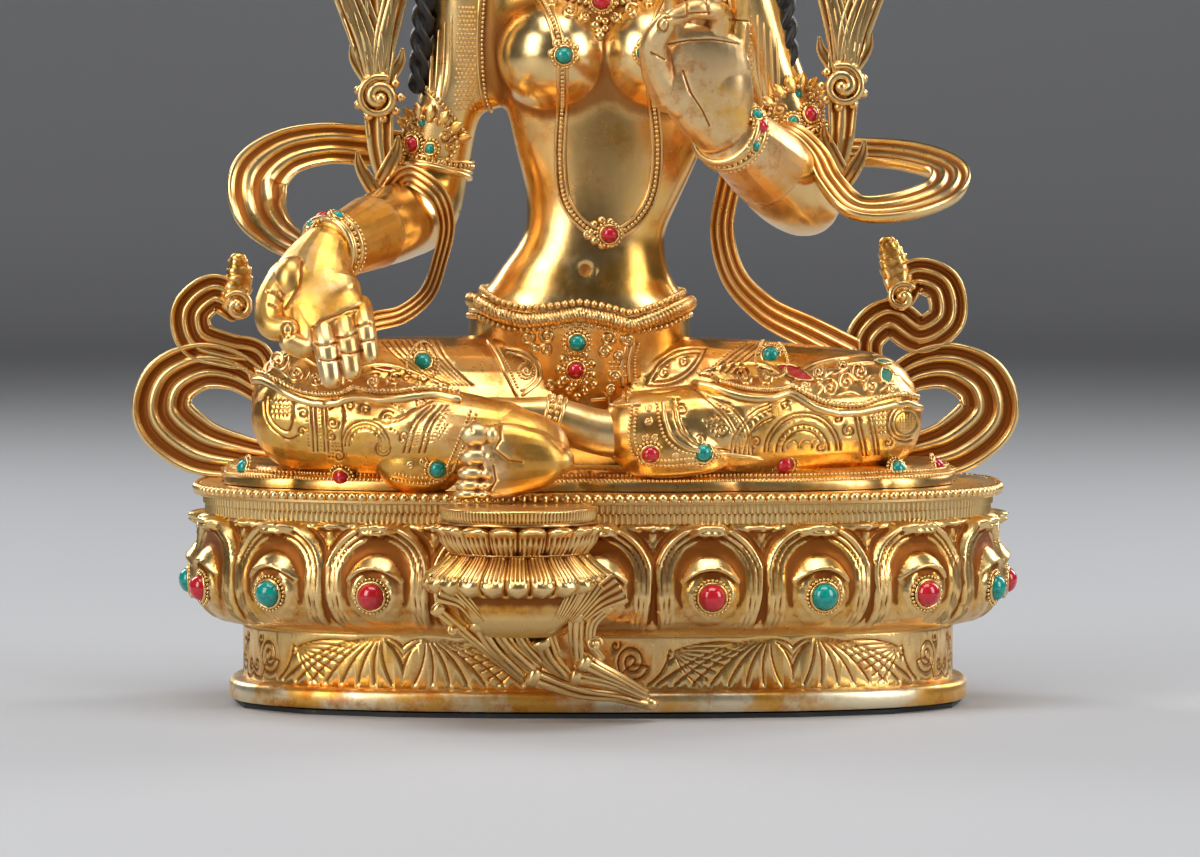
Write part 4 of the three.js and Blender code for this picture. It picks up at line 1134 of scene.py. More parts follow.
pressed(foot, foot_sheet)
finished(foot, material=GILT_RUBBED, reach=12, thin=0.35)

# %% [markdown]
# ## Ropes, beads and scrolls
# The dress is edged with ropes and rows of beads that lie on the body. Their paths are drawn in front of
# the figure and dropped onto the skin by rays, so that they follow it wherever it goes.

# %% Things that lie on a skin
def skin_tree(*pieces):
    """A tree for rays, from the meshes of the pieces in millimetres"""
    points, faces = [], []
    for piece in pieces:
        start = len(points)
        points.extend(map(tuple, points_of(piece)))
        faces.extend([start + i for i in face.vertices] for face in piece.data.polygons)
    return BVHTree.FromPolygons(points, faces)


def evenly(points, pitch, closed=False):
    """The points of a path again, spaced by about the pitch"""
    points = np.asarray(points, float)
    if closed:
        points = np.vstack([points, points[:1]])
    along = np.concatenate([[0], np.cumsum(np.linalg.norm(np.diff(points, axis=0), axis=1))])
    count = max(2, int(round(along[-1] / pitch)))
    where = np.linspace(0, along[-1], count + 1)
    if closed:
        where = where[:-1]
    return rows_of(*(np.interp(where, along, column) for column in points.T))


def smooth_path(points, count=60):
    stations = np.asarray(points, float)
    if stations.shape[1] == 2:
        stations = np.insert(stations, 1, 0, axis=1)
        return spline(stations)(np.linspace(0, 1, count))[:, [0, 2]]
    return spline(stations)(np.linspace(0, 1, count))


FAR_IN_FRONT = -160


def dropped(tree, front, lift=0.0):
    """Points of [x, z] in front of the figure, dropped backwards onto the skin"""
    found = []
    for x, z in np.asarray(front, float):
        hit, normal, _, _ = tree.ray_cast(Vector((x, FAR_IN_FRONT, z)), Vector(BACK))
        if hit is not None:
            found.append(tuple(hit + normal * lift))
    return np.array(found)


def along_path(points, radius, columns=8, outline=circle, up=FACING, rows=None, taper=False):
    """A tube of one radius along points in millimetres"""
    points = np.asarray(points, float)
    size = np.full(len(points), float(radius))
    if taper:
        size *= np.sin(np.linspace(0.25, math.pi - 0.12, len(points))) ** 0.6
    stations = np.column_stack([points, size, size])
    rows = rows or len(points) * 2
    return limb(stations, up, columns, rows, outline=outline, place=placed_mm, name="wire")


def bead_row(points, radius, pitch=None, closed=False, shape=None):
    points = evenly(points, pitch or radius * 2.05, closed)
    return copies("beads", shape or SMALL_BEAD, bead_frames(points, (radius, radius, radius)))


SMALL_BEAD = one_bead(6, 4)


def volute(x, y, z, radius, turns=1.4, thick=0.9, hand=1, start=0.0, columns=8):
    """A spiral scroll seen from the front, thicker towards its eye, in millimetres"""
    t = np.linspace(0, 1, int(10 * turns) + 5)
    angle = start + hand * t * turns * ROUND
    reach = radius * (1 - t) ** 0.8 + 0.12 * radius
    points = rows_of(x + reach * np.cos(angle), y - 0.6 * t, z + reach * np.sin(angle))
    size = thick * (0.55 + 0.45 * t)
    stations = np.column_stack([points, size, size * 0.8])
    parts = [limb(stations, FACING, columns, len(points) * 2, place=placed_mm)]
    eye = points[-1]
    bpy.ops.object.select_all(action="DESELECT")
    bpy.ops.mesh.primitive_uv_sphere_add(
        segments=10, ring_count=6, radius=thick * 1.15 * MM, location=eye * MM
    )
    bpy.ops.object.transform_apply(location=True)
    parts.append(bpy.context.object)
    return joined("volute", parts)


# %% [markdown]
# ## The chased cloth
# The folded legs are wrapped in brocade. Its pattern is cut with a chisel: arches with rows of scales,
# spirals and bands of dots. It is drawn on a sheet that stands in front of each leg, in millimetres across
# and up, and pressed into the skin. The legs' meshes are fine for that, and are thinned out afterwards.

# %% Chasing tools
def arc(x, z, radius, start=0, end=180):
    angles = np.radians(np.linspace(start, end, max(4, int(abs(end - start) / 12))))
    return rows_of(x + radius * np.cos(angles), z + radius * np.sin(angles))


def curve(*points, count=30):
    """A smooth line through a few points of a sheet"""
    return smooth_path(np.array(points, float), count)


def scales(sheet, points, size=0.75):
    """A row of small arches along a line"""
    for x, z in evenly(points, size * 2.05):
        sheet.line(arc(x, z, size), **FINE)


def stipple(sheet, points, pitch=0.95):
    sheet.dots(evenly(points, pitch), **DOT)


def arch(sheet, x, z, radii, start=0, end=180):
    """An arch of nested lines with scales between the inner two"""
    for radius in radii:
        sheet.line(arc(x, z, radius, start, end))
    scales(sheet, arc(x, z, radii[-2] - 0.9, start + 6, end - 6))

# %% Pattern of the right leg
sheet = ChasingSheet((-95, 58), (-20, 98))
arch(sheet, -59.4, 70.2, (6.2, 5.3, 4.3), -10, 185)
arch(sheet, -54.9, 69.2, (1.9, 1.2), -180, 180)
sheet.spirals(
    (-59.4, 79.4, 1.5, 1.4, 3.6, 1), (-53.7, 77.2, 2, 1.6, 0.8, -1), (-67.9, 75.6, 1.7, 1.5, 0.2, 1),
    (-68.2, 72.2, 1.5, 1.4, 1.6, -1), (-75.6, 78, 1.5, 1.3, 2.4, 1), (-76, 73.4, 1.2, 1.2, 0.5, -1),
    (-66.4, 67, 1.5, 1.4, 2, 1), (-45.4, 81, 1.4, 1.4, 0.4, -1), (-63.4, 80.2, 1.1, 1.2, 2, 1),
    (-49.2, 72.6, 1.5, 1.3, 4, 1)
)
for row in range(4):
    scales(sheet, [(-84.0 + 0.3 * (row % 2), 80.8 - 1.25 * row), (-79.2, 81.0 - 1.25 * row)], 0.62)
sheet.curve((-84.6, 81.8), (-84.6, 77.6), (-82.4, 74.6), (-79.6, 73.4), (-78.4, 76.2), (-78.2, 81))
sheet.curve((-86, 80.6), (-85.2, 76), (-82.4, 72.8), (-79.4, 71.2), (-76.8, 72.4))
for shift in (0, 1.1, 2.9, 3.9):
    sheet.curve((-73.6 + shift, 80.4), (-73.2 + shift, 74), (-73.0 + shift, 68.2))
stipple(sheet, [(-74.6, 79.6), (-74.2, 69.6)])
stipple(sheet, [(-71.3, 79.6), (-71, 68.6)])
for row in range(5):
    stipple(sheet, [(-69, 70.6 - 0.95 * row), (-66.4 + 0.3 * row, 70.4 - 0.95 * row)], 0.9)
sheet.curve((-68.8, 79.2), (-65.8, 80.6), (-64.8, 77.6), (-65.6, 73), (-65.4, 68))
for shift in (0, 0.8):
    sheet.curve((-57 + shift, 76.8), (-51.4, 76.4 + shift), (-46.8, 79.4), (-42.2, 81.6))
stipple(sheet, curve((-56.4, 81.4), (-51.8, 80.6), (-49.4, 78.8)))
stipple(sheet, curve((-52.6, 74.4), (-50.4, 73), (-49.4, 70)))
for low, high in (((-48.6, 70), (-47.2, 76.2)), ((-44.6, 71.2), (-40.4, 79))):
    for t in np.linspace(0, 1, 9):
        x = low[0] + (high[0] - low[0]) * t
        z = low[1] + (high[1] - low[1]) * t
        sheet.line([(x, z), (x + 2.6, z + 0.5)], **FINE)
for shift in (0, 1.4, 4, 5.4):
    sheet.curve((-49.6 + shift, 68.4), (-47.4 + shift, 75.4), (-42.8 + shift * 0.8, 80.6))
for k in range(5):
    stipple(sheet, curve((-43.6 + 0.8 * k, 73.4 - 0.3 * k), (-41.4 + 0.8 * k, 76.4 - 0.2 * k)), 0.9)
# the thigh's slanting folds, above the rope
for k in range(9):
    t = k / 8
    sheet.line(bow((-57 + 15 * t, 96.4 - 1.2 * t), (-41.6 + 9 * t, 84.8 - 0.8 * t), -0.8))
for k in range(4):
    stipple(sheet, bow((-55.4 + 15 * k / 4, 95.8), (-41.0 + 8 * k / 4, 85.6), -0.8), 1)
sheet.line(curve((-63.6, 86.2), (-60.4, 89.4), (-54.6, 89.8), (-46.4, 87.2), (-39.4, 84.2)), 0.9, 0.4)
for x, z, radius in ((-57.6, 86.6, 1.3), (-49.4, 86.4, 1.2)):
    sheet.line(spiral(x, z, radius, 1.4, 0.5, -1))
pressed(right_leg, sheet)

# %% Pattern of the left leg
sheet = ChasingSheet((0, 58), (92, 100))
arch(sheet, 52.5, 68.4, (9.9, 8.9, 6.8, 5.2), 0, 180)
arch(sheet, 47.2, 67.6, (13.4, 12.4, 9.9), 105, 178)
sheet.spirals(
    (21.4, 79.2, 1.6, 1.4, 2.6, 1), (31.7, 73.8, 1.8, 1.5, 0.4, -1), (40.4, 70.9, 1.8, 1.5, 4.4, 1),
    (57.2, 69.2, 1.3, 1.3, 0.3, 1), (64.6, 73.4, 1.8, 1.5, 2.2, -1), (75, 69.8, 1.2, 1.2, 1, 1),
    (33.2, 79.4, 1.7, 1.3, 3, 1), (26.2, 71.8, 1.3, 1.3, 2.4, 1), (48, 80.2, 1.3, 1.2, 0.6, -1),
    (61.6, 76.4, 1.2, 1.2, 2, 1)
)
for x in (49.9, 53.4, 56.4):
    sheet.line(arc(x, 69.6, 1.5, -20, 200), **FINE)
for radius in (5, 3.9):
    sheet.line(arc(79.6, 74.9, radius, 70, 290))
sheet.line(arc(79.8, 74.9, 2.9, -180, 180))
for k in range(-3, 4):
    sheet.line([(77.4 + abs(k) * 0.2, 74.9 + 0.75 * k), (82.2 - abs(k) * 0.2, 74.9 + 0.75 * k)], **FINE)
    sheet.line([(79.8 + 0.75 * k, 72.6 + abs(k) * 0.2), (79.8 + 0.75 * k, 77.2 - abs(k) * 0.2)], **FINE)
for shift in (0, 1.1, 3.6, 4.6):
    sheet.curve((66.2 + shift, 76.6), (67.2 + shift, 72), (68.4 + shift * 0.9, 66.6))
for row in range(5):
    scales(sheet, [(70.8, 77.4 - 1.3 * row), (74.2, 77.6 - 1.3 * row)], 0.62)
stipple(sheet, curve((67.2, 76), (68.2, 71.6), (69.2, 67)), 0.95)
for radius in (0, 1, 3.4, 4.4):
    sheet.curve(
        (24.6 + radius, 84.4 - radius * 0.5), (30.6 + radius, 79.6), (34.6 + radius, 73.6),
        (35.2 + radius, 67.4)
    )
for radius in (1.6, 2.5):
    stipple(sheet, curve(
        (26.2 + radius, 82.4), (31.4 + radius, 78.6), (35.0 + radius, 72.6), (35.4 + radius, 67.6)
    ))
for shift in (0, 1.2):
    sheet.curve((19.2 + shift, 82.2), (20.2 + shift, 75.4), (24.4 + shift, 70.6), (33.4, 67.6 + shift))
for row in range(4):
    scales(sheet, [(27.6 + row, 76.4 - 1.3 * row), (30.4 + row, 77.2 - 1.3 * row)], 0.6)
# the leaf-shaped panels of the thigh, beside the belt
for start, end, sag in (
    ((7.2, 81.2), (16, 98), 3.4), ((12.6, 83.6), (28.2, 93.2), 3.6), ((12.6, 83.6), (28.2, 93.2), -3.6),
    ((14.4, 84.6), (26.6, 92.2), 2.4), ((14.4, 84.6), (26.6, 92.2), -2.4)
):
    sheet.line(bow(start, end, sag))
for x, z, radius in ((17.2, 87, 1.8), (10.6, 91.6, 1.6), (10.2, 86.6, 1.4), (22.4, 89.8, 1.4)):
    sheet.line(spiral(x, z, radius, 1.5, 1.0, -1))
for k in range(4):
    stipple(sheet, bow((29.4 + 1.6 * k, 88.0 - 0.3 * k), (40.6 + 1.6 * k, 96), 0.6), 1)
    sheet.line(bow((30.2 + 1.6 * k, 87.6 - 0.3 * k), (41.4 + 1.6 * k, 95.6), 0.6))
sheet.line(curve((27.4, 87.2), (34.6, 89.4), (43.4, 89.2), (49.6, 85.2)), 0.9, 0.4)
sheet.line(curve(
    (49.8, 85.4), (56.2, 89.6), (64.2, 91.4), (72.6, 92.2), (79.4, 89.2), (83.2, 82.6)
), 0.9, 0.4)
sheet.line(curve((54.4, 84), (60.6, 88.4), (66.8, 90), (73.8, 89.8), (78.2, 86.4)), 0.8, 0.3)
pressed(left_leg, sheet)

# %% Thin out and finish the legs
for leg in (right_leg, left_leg):
    mark_hollows(leg, 10)
    apply(leg, "DECIMATE", ratio=0.18)
leg_tree = skin_tree(right_leg, left_leg)
for leg in (right_leg, left_leg):
    finished(leg, reach=0)

# %% [markdown]
# ## Ropes and scrolls on the knees
# Over each shin a rope and a plain roll part the skirt from the richer cloth on the thigh. The rope is a
# tube whose section turns as it runs. The scrolls are wires rolled into spirals, and everything is dropped
# onto the legs from in front.


# %% Trim of the legs
def laid(tree, flat, radius, lift=0.35, columns=8, outline=circle, rows=None, taper=False):
    """A wire along points of a sheet, laid on a skin"""
    points = dropped(tree, flat, radius * lift)
    return along_path(points, radius, columns, outline, rows=rows or len(points) * 2, taper=taper)


def laid_spiral(tree, x, z, reach, turns=1.6, thick=0.42, hand=1, start=0.0):
    flat = spiral(x, z, reach, turns, start, hand, 0.1)[::2]
    return laid(tree, flat, thick, 0.5, 7, rows=int(30 * turns))


def laid_rope(tree, flat, radius=0.85, pitch=1.15):
    """A twisted rope whose strands lie about a pitch apart"""
    length = np.linalg.norm(np.diff(dropped(tree, flat, 0), axis=0), axis=1).sum()
    turns = length / pitch / 2
    return laid(tree, flat, radius, 0.5, 12, twisted(2, turns, 0.42), rows=int(length / pitch * 6))


ROPES = [
    curve(
        (-89.6, 87.4), (-86.6, 87.7), (-82.2, 86), (-77.7, 83.9), (-73.6, 82.9), (-69.6, 82.7), (-65.5, 83.1),
        (-62.4, 84.3), count=70
    ),
    curve(
        (-62.2, 84.3), (-58.6, 83.6), (-54.9, 83.4), (-50.8, 83.6), (-45.9, 84.2), (-40.6, 84.2), (-36, 83.6),
        count=60
    ),
    curve((26.6, 87), (31.7, 85.7), (36.9, 84.3), (42.1, 83.7), (47.3, 83.9), (49.9, 84.6), count=60),
    curve(
        (49.9, 84.6), (53.6, 82.6), (57.7, 80.8), (63, 79.8), (68.2, 79.9), (73.4, 81.5), (78.6, 82.1),
        (82.6, 81), count=70
    )
]
ROLLS = [
    curve(
        (-89.8, 85.2), (-86.7, 85.9), (-83.4, 84.7), (-80.1, 83), (-76.5, 81.4), (-72, 80.5), (-67.5, 80.6),
        (-63.9, 81.6), (-60.2, 82), (-55.3, 81.6), (-50, 81.9), (-45.1, 82.6), (-41, 82.8), (-35.5, 81.8),
        count=90
    ),
    curve(
        (24.9, 85.4), (29.1, 84.6), (33.8, 82.9), (39, 81.8), (44.7, 81.8), (48.9, 82.9), (51.5, 81.8),
        (55.7, 79.3), (60.9, 78), (67.1, 77.9), (72.9, 78.9), (78.6, 79.7), (83.2, 78.4), count=90
    )
]
trim = [laid_rope(leg_tree, flat) for flat in ROPES]
trim += [laid(leg_tree, flat, 1.05, 0.3, 10) for flat in ROLLS]
for x, z, reach, hand, start in (
    (-82.2, 91, 2.9, 1, 0.4), (-77.5, 87.9, 2.3, -1, 2.2), (-72.4, 86.6, 2.2, 1, 0.8),
    (-52.4, 86.6, 1.9, -1, 1.5), (-45.6, 86, 1.3, 1, 0), (-66.2, 86.6, 1.6, -1, 2.6),
    (-57.8, 85.8, 1.5, 1, 1), (37.7, 86.6, 2.2, 1, 3.4), (43.4, 86.7, 2.2, -1, 0.4), (59.4, 84, 2.6, 1, 3),
    (63.8, 85.4, 2.3, -1, 0.2), (67.6, 87.7, 2.3, 1, 4.4), (70.5, 84.2, 2, -1, 1.2), (56.9, 87.6, 1.8, 1, 1),
    (75.8, 83.6, 1.3, 1, 2), (63.6, 89.4, 1.4, -1, 2), (53, 84.8, 1.2, 1, 0.5)
):
    trim.append(laid_spiral(leg_tree, x, z, reach, 1.7, 0.45, hand, start))
for flat in (
    curve((-79.4, 93.2), (-75.6, 91.8), (-71.2, 89.2), (-67.6, 87.2)),
    curve((-84.6, 89.4), (-81.2, 88), (-79.4, 86.6)), curve((-75.2, 86.2), (-74.4, 88.2), (-75, 90)),
    curve((56.2, 82.4), (57.6, 84), (56.4, 86)), curve((61.2, 82.2), (64.6, 83), (67.6, 82)),
    curve((66.2, 86), (68.6, 85.6), (70.4, 87)), curve((72.6, 83), (74.6, 84.6), (73.4, 86)),
    curve((60.2, 87.2), (62, 87.6), (64, 88.6))
):
    trim.append(laid(leg_tree, flat, 0.5, 0.4, 7, taper=True))


def inlay(name, tree, start, end, sag, material, slot, lift=0.22):
    """A painted leaf between two bows, with a thin gilt wire round it"""
    upper, lower = bow(start, end, sag), bow(start, end, -sag * 0.7)
    outline = dropped(tree, np.vstack([upper, lower[::-1]]), lift + 0.1)
    if len(outline) < len(upper) * 2:
        print(name, "runs over the edge, and is left out")
        return
    trim.append(along_path(np.vstack([outline, outline[:1]]), 0.32, 6, rows=90))

    def place(u, v):
        k = np.rint(u * 23).astype(int)
        flat = upper[k] + (lower[k] - upper[k]) * v[:, None]
        return dropped(tree, flat, lift)

    leaf = bent_sheet(name, 23, 5, place)
    apply(leaf, "SOLIDIFY", thickness=0.5 * MM, offset=-1)
    close_up(leaf)
    finished(leaf, material=material, slot=slot)


RED_LEAVES = [
    ((-85.2, 87.8), (-83.4, 90.8), 0.9), ((-58.2, 89), (-51.2, 88.2), 0.7), ((46.4, 89), (55.4, 86), 1.5),
    ((53.6, 91.6), (62.2, 93.4), 1.2), ((77.4, 89), (81.6, 83.2), 1.7)
]
GREEN_LEAVES = [
    ((-81.2, 91.6), (-78.8, 93.4), 0.6), ((73.6, 88.6), (75, 84.6), 1.9), ((71.8, 90.4), (76.4, 89.8), 0.6)
]
for k, (start, end, sag) in enumerate(RED_LEAVES):
    inlay(f"red_leaf_{k}", leg_tree, start, end, sag, RED_PAINT, "coral")
for k, (start, end, sag) in enumerate(GREEN_LEAVES):
    inlay(f"green_leaf_{k}", leg_tree, start, end, sag, GREEN_PAINT, "turquoise")

# %% Beaded borders of the cloth ends
def laid_beads(tree, flat, radius=0.5, lift=0.4):
    return bead_row(dropped(tree, flat, radius * lift), radius)


for x, z in ((-45.6, 90.4), (45.2, 91.2)):
    c, s = circle(np.linspace(0, ROUND, 40))
    trim.append(laid_beads(leg_tree, rows_of(x + 4 * s * (1 - 0.25 * c), z + 4.6 * c)))
PANEL_EDGES = [
    curve((8.7, 80.1), (8, 74.6), (8.4, 69.6), (11, 66.2), (16.4, 65.2), (24.6, 65.8), (31.4, 67.4)),
    curve((9.9, 79.6), (9.3, 74.6), (9.8, 70.4), (11.9, 67.4), (16.6, 66.5), (24.2, 67)),
    curve((15, 80.8), (15.8, 75.9), (17.4, 71.8), (20.7, 69), (24.6, 68)),
    curve(
        (-52.6, 61.6), (-46.4, 60.6), (-41.2, 61), (-37.6, 63.4), (-35.6, 67.2), (-33.4, 72.4), (-31, 78.4)
    ),
    curve((-51.6, 63), (-46.4, 62), (-42, 62.4), (-38.8, 64.6), (-37, 68), (-35, 73), (-32.4, 79.2))
]
for flat in PANEL_EDGES:
    trim.append(laid_beads(leg_tree, flat))
trim.append(laid(leg_tree, curve(
    (16.6, 81), (17.4, 76.2), (19.2, 72.2), (23, 69.6), (31.6, 68.2), (42, 66.6)
), 0.6))
for x, z, reach, hand in (
    (11.9, 72.2, 1, 1), (14.6, 72, 1, -1), (12.8, 76.4, 1.1, 1), (13, 79.6, 0.8, -1), (19.6, 67.8, 0.8, 1),
    (-44.6, 66.2, 1.2, 1), (-47.8, 65, 1, -1)
):
    trim.append(laid_spiral(leg_tree, x, z, reach, 1.4, 0.34, hand, 1.0))
finished(joined("leg_trim", trim), reach=3, thin=0.5)

# %% [markdown]
# ## Scarves
# A scarf is one long ribbon, pleated along its length. It is wide in the loops beside the arms and narrow
# where it passes under an elbow. Each runs through the stations of its solid.

# %% Scarves
RIGHT_LOOP = [
    [-50, 9, 86.5, 4.6, 1.6], [-62.7, 7, 88, 5, 1.7], [-72, 5, 88.4, 5.2, 1.8], [-82.6, 3, 85.8, 6, 1.9],
    [-89, 0, 79.6, 7.4, 1.9], [-88.6, -5, 72, 7, 1.9], [-83.6, -16, 65.4, 4.8, 1.8],
    [-76.5, -27, 61.4, 3.4, 1.6]
]
RIGHT_FALL = [
    [-55.5, 4, 75, 2.2, 1.4], [-49, -9, 80, 2.6, 1.6], [-42, -12.4, 75, 2.5, 1.6],
    [-39.6, -10, 67.4, 2.1, 1.5], [-41.4, -8.8, 58, 1.9, 1.4], [-44.6, -9.6, 49.4, 2, 1.4],
    [-51, -13, 44, 2.3, 1.5], [-59, -17.4, 42, 2.5, 1.5], [-65, -21, 38.8, 2.6, 1.5]
]
LEFT_LOOP = [
    [57, 12, 85.4, 4.6, 1.7], [70, 9, 85.8, 5, 1.8], [82.6, 2, 84.6, 5.6, 1.9], [91.6, -8, 81, 5.2, 1.9],
    [89.4, -19, 76, 4.6, 1.9], [78, -26, 72, 4.4, 1.8], [67, -27, 72, 4, 1.7], [60.4, -22.4, 78.4, 3.4, 1.6],
    [56.4, -17, 86, 3, 1.6], [50, -13, 91.6, 2.8, 1.6], [44.6, -6, 91, 2.6, 1.5]
]
LEFT_FALL = [
    [48, 12, 97, 2.6, 1.5], [43.4, 14, 93.4, 3, 1.5], [38, 13, 88, 3, 1.5], [34.4, 12, 76, 2.9, 1.5],
    [32.8, 11, 65, 3, 1.5], [36, 9, 53, 3.2, 1.5], [44, 6, 44.6, 3.6, 1.6], [56, 1, 38.4, 4.2, 1.6],
    [66.5, -4, 33, 4.4, 1.6]
]
SCARF = ribbon(4, 0.5, 0.25)


def scarf(name, stations, up, rows=140):
    made = limb(stations, up, rows=rows, outline=SCARF, name=name)
    return finished(made, reach=4)


scarf("scarf_loop_right", RIGHT_LOOP, FACING)
scarf("scarf_fall_right", RIGHT_FALL, FACING)
scarf("scarf_loop_left", LEFT_LOOP, (0.1, -0.55, 0.83))
scarf("scarf_fall_left", LEFT_FALL, FACING)

# %% [markdown]
# ## The scrolls beside the knees
# They are the scarf's ends, stiffened into clouds: a big C, a smaller curl over it and a bud on top. Each
# band is pleated, and its end rolls into an eye. The left pair is modelled as the right and mirrored.

# %% Scrolls
SCROLL_MIRROR = -6 * PART
SPRAY_MIRROR = 3.4 * PART
BIG_SCROLL = [
    [-80, 11, 4, 3.6, 2], [-95, 15, 5.4, 5.4, 2.4], [-107, 17, 8.4, 7.2, 2.6], [-115.6, 18, 16.4, 7.6, 2.7],
    [-114, 18, 24.4, 7, 2.7], [-106, 18, 29, 6, 2.6], [-97, 18, 28, 5, 2.5], [-88.4, 17, 22.6, 3.6, 2.2]
]
RIGHT_UPPER = [
    [-88, 17, 24, 3.4, 2], [-91, 18, 31.5, 4.2, 2.2], [-98.6, 18, 33.4, 4.4, 2.3], [-106.8, 18, 36.6, 5, 2.3],
    [-108, 18, 43.6, 5, 2.3], [-101.8, 18, 48.6, 4.8, 2.2], [-95.6, 18, 45, 4.2, 2.1]
]
RIGHT_BUD = [[-97.4, 18, 45, 3.4, 2.2], [-95.4, 18, 52, 4, 2.4], [-95.6, 18, 57.6, 2.6, 1.8]]
LEFT_UPPER = [
    [-91, 17.5, 23, 3.4, 2], [-84, 18, 28.6, 4.2, 2.2], [-83, 18, 36.6, 4.8, 2.3], [-89.4, 18, 42, 5, 2.4],
    [-97.6, 18, 37.6, 4.8, 2.4], [-104.6, 18, 42, 4.8, 2.4], [-103.4, 18, 50.6, 4.8, 2.3],
    [-96, 18, 53, 4.4, 2.2], [-92.8, 18, 47.4, 3.2, 2]
]
LEFT_BUD = [[-92, 18, 50, 4, 2.3], [-90.4, 18, 57, 4, 2.4], [-88.8, 18, 62, 2.6, 1.8]]
SCROLL_BAND = ribbon(4, 0.75, 0.35)


def mirror(piece, x):
    points = points_of(piece)
    points[:, 0] = 2 * x - points[:, 0]
    set_points(piece, points)
    close_up(piece)
    return piece


def bud(stations):
    """A bud of overlapping scales, as a small pine cone"""
    def scales(angle, along):
        row = along * 5
        lift = np.mod(row, 1)
        wave = np.abs(np.cos((angle + math.pi / 2 * (np.floor(row) % 2)) * 2.5))
        reach = 0.86 + 0.22 * lift * wave
        return reach * np.cos(angle), reach * np.sin(angle)

    return limb(stations, FACING, 40, 60, outline=scales)


def scroll(name, node, upper, top, side):
    eyes = []
    for stations in (BIG_SCROLL, upper):
        end = stations_mm(stations)[-1]
        eyes.append(volute(end[0], end[1] - 2, end[2], 3.6, 1.2, 1.3, hand=-1, start=2.4))
    parts = [
        limb(BIG_SCROLL, FACING, rows=120, outline=SCROLL_BAND),
        limb(upper, FACING, rows=120, outline=SCROLL_BAND)
    ]
    made = joined(name, parts + eyes + [bud(top)])
    if side > 0:
        mirror(made, SCROLL_MIRROR)
    return finished(made, node, reach=4, thin=0.55)


scroll("knee_scroll_right", "scarf_scroll_right", RIGHT_UPPER, RIGHT_BUD, -1)
scroll("knee_scroll_left", "scarf_scroll_left", LEFT_UPPER, LEFT_BUD, 1)

# %% [markdown]
# ## The lotus sprays
# Beside each arm a lotus rises on a leafy stem. The stem carries a scrolled disc and bursts into long
# leaves with rolled tips. The open flower on top is past the photo's edge, so it follows the usual form.

# %% Sprays
SPRAY_LIFT = 3
SPRAY_X, SPRAY_Y = -57.5, 1.2
LEAF = ribbon(3, 0.6, 0.1, 4)


def petal_leaf(base, tip, wide, hollow, turn, lean):
    """A flower petal from base to tip, cupped by hollow, that leans out by lean, in parts"""
    x, y, z = base

    def place(u, v):
        across = (u - 0.5) * 2
        shape = np.sin(np.clip(v, 0, 1) * math.pi * 0.86 + 0.3) ** 0.8 * (1 - 0.5 * step(v, 0.8, 1))
        side = across * wide * shape
        out = lean * v**1.3 + 2.6 * hump(v, 1, 0.2) - hollow * (across**2) * shape
        ridge = 0.35 * np.cos(across * 3 * math.pi) * (v < 0.97)
        point = rows_of(side, -(2.2 + out + ridge), 0)
        c, s = math.cos(turn), math.sin(turn)
        return on_figure(rows_of(
            x + point[:, 0] * c - point[:, 1] * s, y + (point[:, 0] * s + point[:, 1] * c) * 0.6,
            z + (tip - z) * v - 2.4 * hump(v, 1, 0.12)
        ))

    made = bent_sheet("leaf", 16, 22, place)
    apply(made, "SOLIDIFY", thickness=0.7 * MM, offset=-1)
    return made


